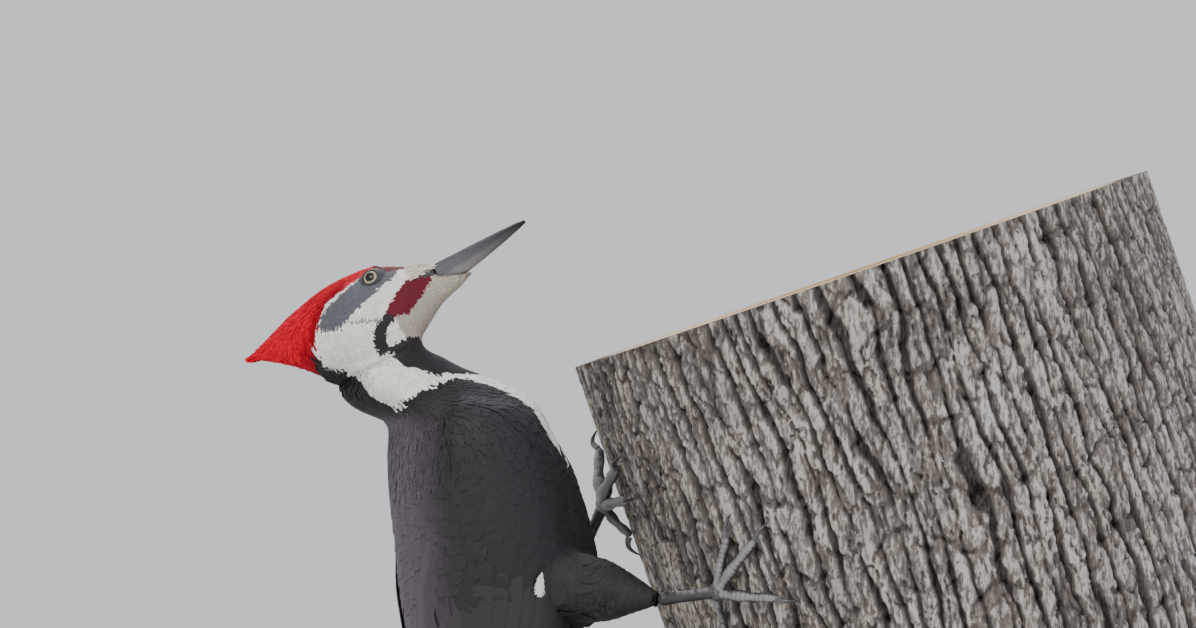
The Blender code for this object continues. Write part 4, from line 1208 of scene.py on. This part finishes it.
def blades(line, up, left, right, thickness, quill, tilt=0.0, camber=0.12):
    """Closed blades either side of quill lines, half widths left and right by row, thin at both margins:
    points, triangles, (across, along) at each point, points in a feather, and the light's directions."""
    count, rows = line.shape[:2]
    way = unit(np.gradient(line, axis=1))
    side = unit(np.cross(way, up))
    share = np.linspace(0, 1, rows)
    reach = np.where(ACROSS < 0, left[..., None], right[..., None]) * ACROSS
    bow = -camber * abs(reach) * abs(ACROSS) + tilt * reach
    ridge = quill * np.exp(-((ACROSS / 0.05) ** 2)) * (1 - 0.75 * share[None, :, None])
    thin = thickness * (1 - ACROSS**4)
    swept = (0.35 * abs(reach))[..., None] * way[:, :, None]
    base = line[:, :, None] + reach[..., None] * side[:, :, None] + swept
    top = base + (bow + thin / 2 + ridge)[..., None] * up[:, :, None]
    low = base + (bow - thin / 2 - 0.4 * ridge)[..., None] * up[:, :, None]

    def ring_of(upper, lower):
        return np.concatenate([upper, lower[:, :, -2:0:-1]], axis=2)

    ring = ring_of(top, low)
    sides, wide = ring.shape[2], len(ACROSS)
    ends, corners = [], []
    for row in (0, rows - 1):
        start = row * sides
        for k in range(1, wide - 2):
            quad = [start + k, start + k + 1, start + sides - k - 1, start + sides - k]
            ends.append(quad if row else quad[::-1])
        last = start + wide - 1
        corners += [(start, start + 1, start + sides - 1), (last - 1, last, last + 1)]
    quads = np.concatenate([net(rows, sides, True), np.array(ends)])
    triangles = np.concatenate([quads[:, [0, 1, 2]], quads[:, [0, 2, 3]], np.array(corners)])
    triangles = (np.arange(count)[:, None, None] * rows * sides + triangles[None]).reshape(-1, 3)
    across = np.concatenate([ACROSS, ACROSS[-2:0:-1]])
    along = share[None, :, None] * np.ones((count, 1, 1))
    flat = np.stack(np.broadcast_arrays(across[None, None, :], along), axis=-1)
    lean = 0.3 * ACROSS[None, None, :, None] * side[:, :, None]
    light = unit(ring_of(up[:, :, None] + lean, lean - up[:, :, None]))
    return ring.reshape(-1, 3), triangles, flat.reshape(-1, 2), rows * sides, light.reshape(-1, 3)


def nearest_map(places):
    """Each place's spot on the skin's unwrap."""
    found, faces = on_skin(places)
    return unwrap[tri_loops[faces]].mean(axis=1)


flight_feather = feather_finish(
    "stiff_black_flight_feather", 0.45, "#a79db0", Sheen_Weight=0.05, Specular_IOR_Level=0.35
)
ROWS = 36
down = np.linspace(0, 1, ROWS)
FLIGHT_BLACK = "#1d1b1e"
# How many primaries, then secondaries. For the first and the last of them: the root's share down the wing
# and across it, and the tip's. Then their depth under the wing's face at root and tip, half width, and how
# much narrower the outer vane is.
QUILLS = (
    (9, (0.50, 0.50), (0.78, 0.95), (0.99, 0.70), (0.40, 0.97), (4.6, 2.6), 6.5, 0.55),
    (12, (0.27, 0.29), (0.05, 0.98), (0.80, 0.60), (0.07, 1.0), (3.4, 0.8), 8.6, 0.8),
)
WING_PATCH = ((0.368, 0.735), (0.374, 0.755), (0.364, 0.748))  # share down the wing and across it
for side, way in (("right", 1), ("left", -1)):
    rng = np.random.default_rng(47)
    line, up, left, right, tones, spans = [], [], [], [], [], []
    for number, root, root_across, tip, tip_across, (root_deep, tip_deep), wide, narrow in QUILLS:
        for k in range(number):
            part = k / (number - 1)
            mix = lambda pair: pair[0] + (pair[1] - pair[0]) * part
            end = mix(tip) + (0.012 * rng.normal() if k else 0)
            share = mix(root) + (end - mix(root)) * down
            across = mix(root_across) + (mix(tip_across) - mix(root_across)) * ease(0, 1, down)
            outer, inner = on_wing(way, share, across, 1.0), on_wing(way, share, across, 0.0)
            out = outer - inner
            thick = size_of(out)[:, None]
            deep = root_deep + (tip_deep - root_deep) * np.minimum(1, 1.5 * down[:, None])
            deep = np.minimum(deep, 0.8 * thick + 2 * ease(0.35, 0, down[:, None]))
            line.append(outer - out / thick * deep)
            up.append(out / thick)
            rounded = np.sqrt(np.clip(1 - ((down - 0.35) / 0.66).clip(0, 1) ** 6, 0.004, 1))
            shape = np.minimum(1, 0.35 + 4 * down) * rounded
            left.append(wide * shape * (narrow if way > 0 else 1))
            right.append(wide * shape * (1 if way > 0 else narrow))
            spans.append((end - mix(root)) * WING_LENGTH)
            tones.append(markings(line[-1][ROWS // 3 : ROWS // 3 + 1])[0] * rng.uniform(0.93, 1.08))
    line, up, left, right = (np.array(each) for each in (line, up, left, right))
    *made, light = blades(line, up, left, right, 0.3, 0.25, tilt=-0.09 * way)
    piece = plumage(
        "flight_feathers_" + side, flight_feather, made,
        nearest_map(line[:, ROWS // 2]), np.array(tones), np.array(spans), light,
    )
    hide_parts("primaries_" + side)

    # Three small white feathers where the coverts part over the roots of the primaries.
    share = np.linspace(0, 1, 6)
    line, over = (
        np.stack([on_wing(way, s + 0.034 * share, a + 0 * share, level) for s, a in WING_PATCH])
        for level in (1.0, 1.3)
    )
    made = vanes(
        line, unit(over - line), np.full(3, 1.25), lambda s: np.sin(np.pi * (0.12 + 0.76 * s)),
        0.4, np.full(3, 0.6), 0.1, rng,
    )
    plumage(
        "wing_patch_feathers_" + side, contour_feather, made,
        nearest_map(line[:, 0]), np.tile(hex_colour(WHITE)[:3], (3, 1)), np.full(3, 8.0),
    )

TAIL_LENGTH, TAIL_WIDTH, TAIL_GRADE, TAIL_ARCH, TAIL_ROOT = 112, 46, 6, 3.5, 14
TAIL_FALL, TAIL_BEND = math.radians(36), math.radians(18)


def tail_place(across, along, out):
    """Across is -1 to 1, along is in millimetres from the end of the rump, out is towards the tree."""
    share = along / TAIL_LENGTH
    bend = TAIL_BEND * share * share
    chord, slope = TAIL_FALL + bend / 3, TAIL_FALL + bend
    way = np.cos(chord)[:, None] * AHEAD - np.sin(chord)[:, None] * UP
    face = np.sin(slope)[:, None] * AHEAD + np.cos(slope)[:, None] * UP
    spread_out = 0.5 * TAIL_WIDTH * (0.55 + 0.45 * np.minimum(1, share * 2.2))
    off = out + TAIL_ARCH * across * across
    return (
        in_body(SPINE[-1, 0], 0, SPINE[-1, 1]) + along[:, None] * way
        + (across * spread_out)[:, None] * RIGHT + off[:, None] * face
    ), face


line, up, left, right, spans = [], [], [], [], []
for pair in range(5, -1, -1):
    for way in (-1, 1):
        across = way * (pair + 0.5) / 5 * (1 if pair < 5 else 0.92)
        reach = TAIL_LENGTH - TAIL_GRADE * min(pair, 4) * (min(pair, 4) + 1) / 2 - (0.3 if pair < 5 else 30)
        across = across * np.ones(ROWS) * (0.35 + 0.65 * ease(0, 0.5, down))
        out = 0.9 - 0.42 * (5 - pair) + 0 * down
        place, face = tail_place(across, -TAIL_ROOT + (reach + TAIL_ROOT) * down, out)
        line.append(place)
        up.append(-face)
        pointed = np.clip(1 - ((down - 0.45) / 0.55).clip(0, 1) ** 2.2, 0.05, 1)
        shape = np.minimum(1, 0.5 + 3 * down) * pointed
        left.append((6.4 if way > 0 else 4.6) * shape)
        right.append((4.6 if way > 0 else 6.4) * shape)
        spans.append(reach + TAIL_ROOT)
line, up, left, right = (np.array(each) for each in (line, up, left, right))
*made, light = blades(line, up, left, right, 0.35, 0.7)
tones = np.tile(hex_colour(FLIGHT_BLACK)[:3], (len(line), 1))
tail = plumage(
    "tail_feathers", flight_feather, made, nearest_map(line[:, 0]), tones,
    np.array(spans), light,
)
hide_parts("tail")

# ---- Legs, feet and claws ------------------------------------------------------------------------------
# Bare shanks and toes sheathed in horny scutes: broad plates down the front, small ones round the back,
# pads under each joint. Two toes grip forwards and two back, and each ends in a hooked horn claw.

FOOT = {"right": (math.radians(41), -4, 8.5), "left": (math.radians(4), 46, 8.5)}  # turn, height, out
TARSUS_RADIUS, PALM_RADIUS, CLAW = 2.6, 4.3, 11.5
CLAW_SIDES, UNPLATED = 14, 50.0  # a plate longer than any claw leaves it smooth
TOES = {"inner_front": (20, 2.3), "outer_front": (26, 2.5), "outer_rear": (24, 2.4), "hallux": (13, 2.0)}
LIMB_SIDES, PALM_ROWS = 20, 14
# Share of the way from ankle to foot, and the shank's thickness there.
SHANK = [(-0.04, 0.5), (0, 1.1), (0.1, 1.2), (0.25, 1), (0.75, 0.95), (0.92, 1.1), (1, 1.35)]
TOE_WAYS = {"right": (26, 56, 112, 214), "left": (92, 62, -32, 176)}  # degrees from up the log towards -Y


def over_bark(turn, height, way, distance, out):
    """Places out from the bark at distances from a place on it, and the way straight out at each."""
    way = math.radians(way)
    turn = turn + math.sin(way) * distance / LOG_RADIUS
    height = height + math.cos(way) * distance
    outward = np.cos(turn)[:, None] * LOG_OUT + np.sin(turn)[:, None] * LOG_NEAR
    return LOG_MIDDLE + height[:, None] * LOG_UP + (LOG_RADIUS + out)[:, None] * outward, outward


def limb(path, radius, facing, plate, sides=LIMB_SIDES):
    """A tube whose upper side is stepped into scutes of that length and whose under side is padded."""
    way = unit(np.gradient(path, axis=0))
    gone = travelled(path)
    side = unit(np.cross(way, facing))
    front = np.cross(side, way)
    around = np.arange(sides) * 2 * math.pi / sides
    above = np.clip(np.cos(around), 0, 1)[None]
    step = (gone[:, None] / plate) % 1.0
    lip = 0.1 * (step**2.5 - 0.3) * above**0.5
    pebble = 0.05 * np.sin(gone[:, None] * 5.2) * np.sin(around * 7)[None] * (1 - above)
    reach = radius[:, None] * (1 + lip + pebble)
    points = path[:, None] + reach[..., None] * (
        np.cos(around)[None, :, None] * front[:, None] + np.sin(around)[None, :, None] * side[:, None]
    )
    faces = np.concatenate([net(len(path), sides, True), caps(len(path), sides)])
    tones = np.clip(0.35 + 0.65 * above * (0.45 + 0.55 * step), 0, 1)
    return points.reshape(-1, 3), faces, tones.ravel()


# Horny scutes: dark grey plates, paler in front and towards each plate's lip, dry and faintly shiny.
scuted_skin, tree = new_finish(
    "horny_grey_scutes", Roughness=0.5, IOR=1.5, Coat_Weight=0.1, Coat_Roughness=0.35
)
place = add(tree, "TexCoord", out="Object")
plate_tone = add(tree, "Attribute", out="Fac", attribute_name="plate")
mottle = add(tree, "TexNoise", {"Vector": place, "Scale": 420, "Detail": 4})
level = add(tree, "Math", {0: mottle, 1: 0.5, 2: plate_tone}, operation="MULTIPLY_ADD")
add(
    tree, "ValToRGB", {"Fac": level},
    stops=((0.3, "#1b191c"), (1.05, "#7c7a7d"), (0.6, "#2d2b2f"), (0.82, "#444347")), into="Base Color",
)
add(tree, "Bump", {"Height": mottle, "Strength": 0.4, "Distance": 0.0003}, into="Normal")

# Claw horn: mid grey at the root and near black at the point, polished by use.
claw_horn, tree = new_finish(
    "polished_claw_horn", Roughness=0.28, IOR=1.54, Coat_Weight=0.3, Coat_Roughness=0.15
)
reach = add(tree, "Attribute", out="Fac", attribute_name="reach")
place = add(tree, "TexCoord", out="Object")
fibre = add(tree, "TexNoise", {"Vector": place, "Scale": 700, "Detail": 3})
level = add(tree, "Math", {0: fibre, 1: 0.3, 2: reach}, operation="MULTIPLY_ADD")
add(
    tree, "ValToRGB", {"Fac": level}, into="Base Color",
    stops=((0.1, "#6c6b70"), (1.1, "#232226"), (0.6, "#434247")),
)

for side in ("right", "left"):
    turn, height, out = FOOT[side]
    ankle = in_body(*ANKLE[side])
    sole, foot_up = over_bark(np.array([turn]), np.array([height]), 0, 0.0, np.array([out]))
    foot = sole[0]
    share = np.linspace(-0.04, 1, 60)
    path = ankle + (foot - ankle) * share[:, None]
    radius = TARSUS_RADIUS * np.interp(share, *zip(*SHANK))
    points, faces, tones = limb(path, radius, np.tile(LOG_UP, (len(path), 1)), 3.2)
    piece = new_piece(f"shank_{side}", points, faces, scuted_skin)
    # Painted shade: the shank is darker at its ankle end, where it comes out from under the feathers.
    feather_shade = np.repeat(0.3 + 0.7 * ease(0, 0.4, share), LIMB_SIDES)  # where it leaves the feathers
    paint(piece, "plate", tones * feather_shade)
    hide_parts("tarsus_" + side)

    parts = []
    around = np.arange(LIMB_SIDES) * 2 * math.pi / LIMB_SIDES
    fall = np.linspace(0.02, math.pi - 0.02, PALM_ROWS)[:, None]
    palm_side = np.cross(foot_up[0], LOG_UP)
    ball = foot + PALM_RADIUS * (
        np.cos(fall)[..., None] * foot_up[0] * 0.9 + (np.sin(fall) * np.cos(around))[..., None] * palm_side
        + (np.sin(fall) * np.sin(around))[..., None] * LOG_UP
    )
    ball = ball.reshape(-1, 3)
    parts.append((ball, net(PALM_ROWS, LIMB_SIDES, True), np.full(len(ball), 0.55)))
    for way, (toe, (length, thick)) in zip(TOE_WAYS[side], TOES.items()):
        rest = 0.65 * thick + 0.45
        first, reach = 0.1 * PALM_RADIUS, 0.5 * PALM_RADIUS + length
        share = np.linspace(0, 1, 64)
        arch = out * (1 - share) ** 1.4 + rest * share + 2.2 * np.sin(math.pi * share)
        path, outward = over_bark(turn, height, way, first + share * (reach + 0.4 * PALM_RADIUS), arch)
        knuckled = 1 + 0.12 * np.cos(5 * math.pi * share)
        radius = (1.12 if side == "right" else 1.3) * thick * knuckled
        radius = radius * (1 - 0.35 * share) * (1 - 0.5 * ease(0.94, 1, share))
        parts.append(limb(path, radius, outward, 2.1))

        share = np.linspace(0, 1, 30)
        rise = 1.6 + 3.2 * np.sin(math.pi * (0.12 + 0.88 * share)) - 1.1 * share
        start = 0.5 * PALM_RADIUS + reach + 0.3
        path, outward = over_bark(turn, height, way, start + CLAW * 0.82 * share, rise)
        radius = 1.35 * (1 - share) ** 0.8 + 0.22
        claw_points, claw_faces, _ = limb(path, radius, outward, UNPLATED, CLAW_SIDES)
        claw = new_piece(f"horn_claw_{side}_{toe}", claw_points, claw_faces, claw_horn)
        paint(claw, "reach", np.repeat(share, CLAW_SIDES))
        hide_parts(f"claw_{side}_{toe}")
    points, faces, tones = zip(*parts)
    starts = np.cumsum([0] + [len(p) for p in points])
    faces = np.concatenate([f + start for f, start in zip(faces, starts)])
    piece = new_piece(f"toes_{side}", np.concatenate(points), faces, scuted_skin)
    # Painted light: the left toes are painted paler than the right ones, as a lit foot beside one in shade.
    paint(piece, "plate", np.concatenate(tones) + (0.25 if side == "left" else 0))
    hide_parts("foot_" + side)

# ---- Floor, light and camera ---------------------------------------------------------------------------
# A plain pale floor of matt paper in an open pale room, lit like a studio table with large soft lamps.

# Matt paper: pale and even, with only a faint tooth.
paper, tree = new_finish("matt_floor_paper", Roughness=0.95)
tooth = add(tree, "TexNoise", {"Scale": 60, "Detail": 3})
add(tree, "ValToRGB", {"Fac": tooth}, stops=((0.3, "#e4e4e0"), (0.7, "#e9e9e5")), into="Base Color")
far, near = np.meshgrid(np.linspace(-3000, 3000, 25), np.linspace(-3000, 3000, 25), indexing="ij")
points = np.stack([near, far, 0 * far], axis=-1).reshape(-1, 3)
floor = new_piece("paper_floor", points, net(25, 25, False), paper)


def lamp(name, at, towards, size, power, colour):
    """A square soft lamp of that size in metres."""
    light = bpy.data.lights.new(name, "AREA")
    light.size, light.energy, light.color = size, power, hex_colour(colour)[:3]
    made = bpy.data.objects.new(name, light)
    made.location = at
    made.rotation_euler = (Vector(towards) - Vector(at)).to_track_quat("-Z", "Y").to_euler()
    bpy.context.scene.collection.objects.link(made)


lamp("key_lamp", (-0.9, -2.3, 1.9), (-0.2, 0, 0.3), 1.5, 52, "#fff9f1")
lamp("fill_lamp", (1.7, -2.1, 0.9), (-0.1, 0, 0.3), 1.6, 14, "#f2f6ff")
lamp("top_lamp", (-0.5, 0.9, 2.1), (-0.2, 0, 0.35), 1.2, 28, "#ffffff")
sky = bpy.data.worlds.new("studio")
bpy.context.scene.world = sky
sky.use_nodes = True
sky.node_tree.nodes["Background"].inputs["Color"].default_value = hex_colour("#eef1f4")
sky.node_tree.nodes["Background"].inputs["Strength"].default_value = 0.92

view = bpy.data.cameras.new("camera")
view.sensor_width, view.lens = 36, 205.2
eye_point = bpy.data.objects.new("camera", view)
eye_point.location, eye_point.rotation_euler = (-0.175, -3.06, 0.366), (math.pi / 2, 0, 0)
bpy.context.scene.collection.objects.link(eye_point)
bpy.context.scene.camera = eye_point
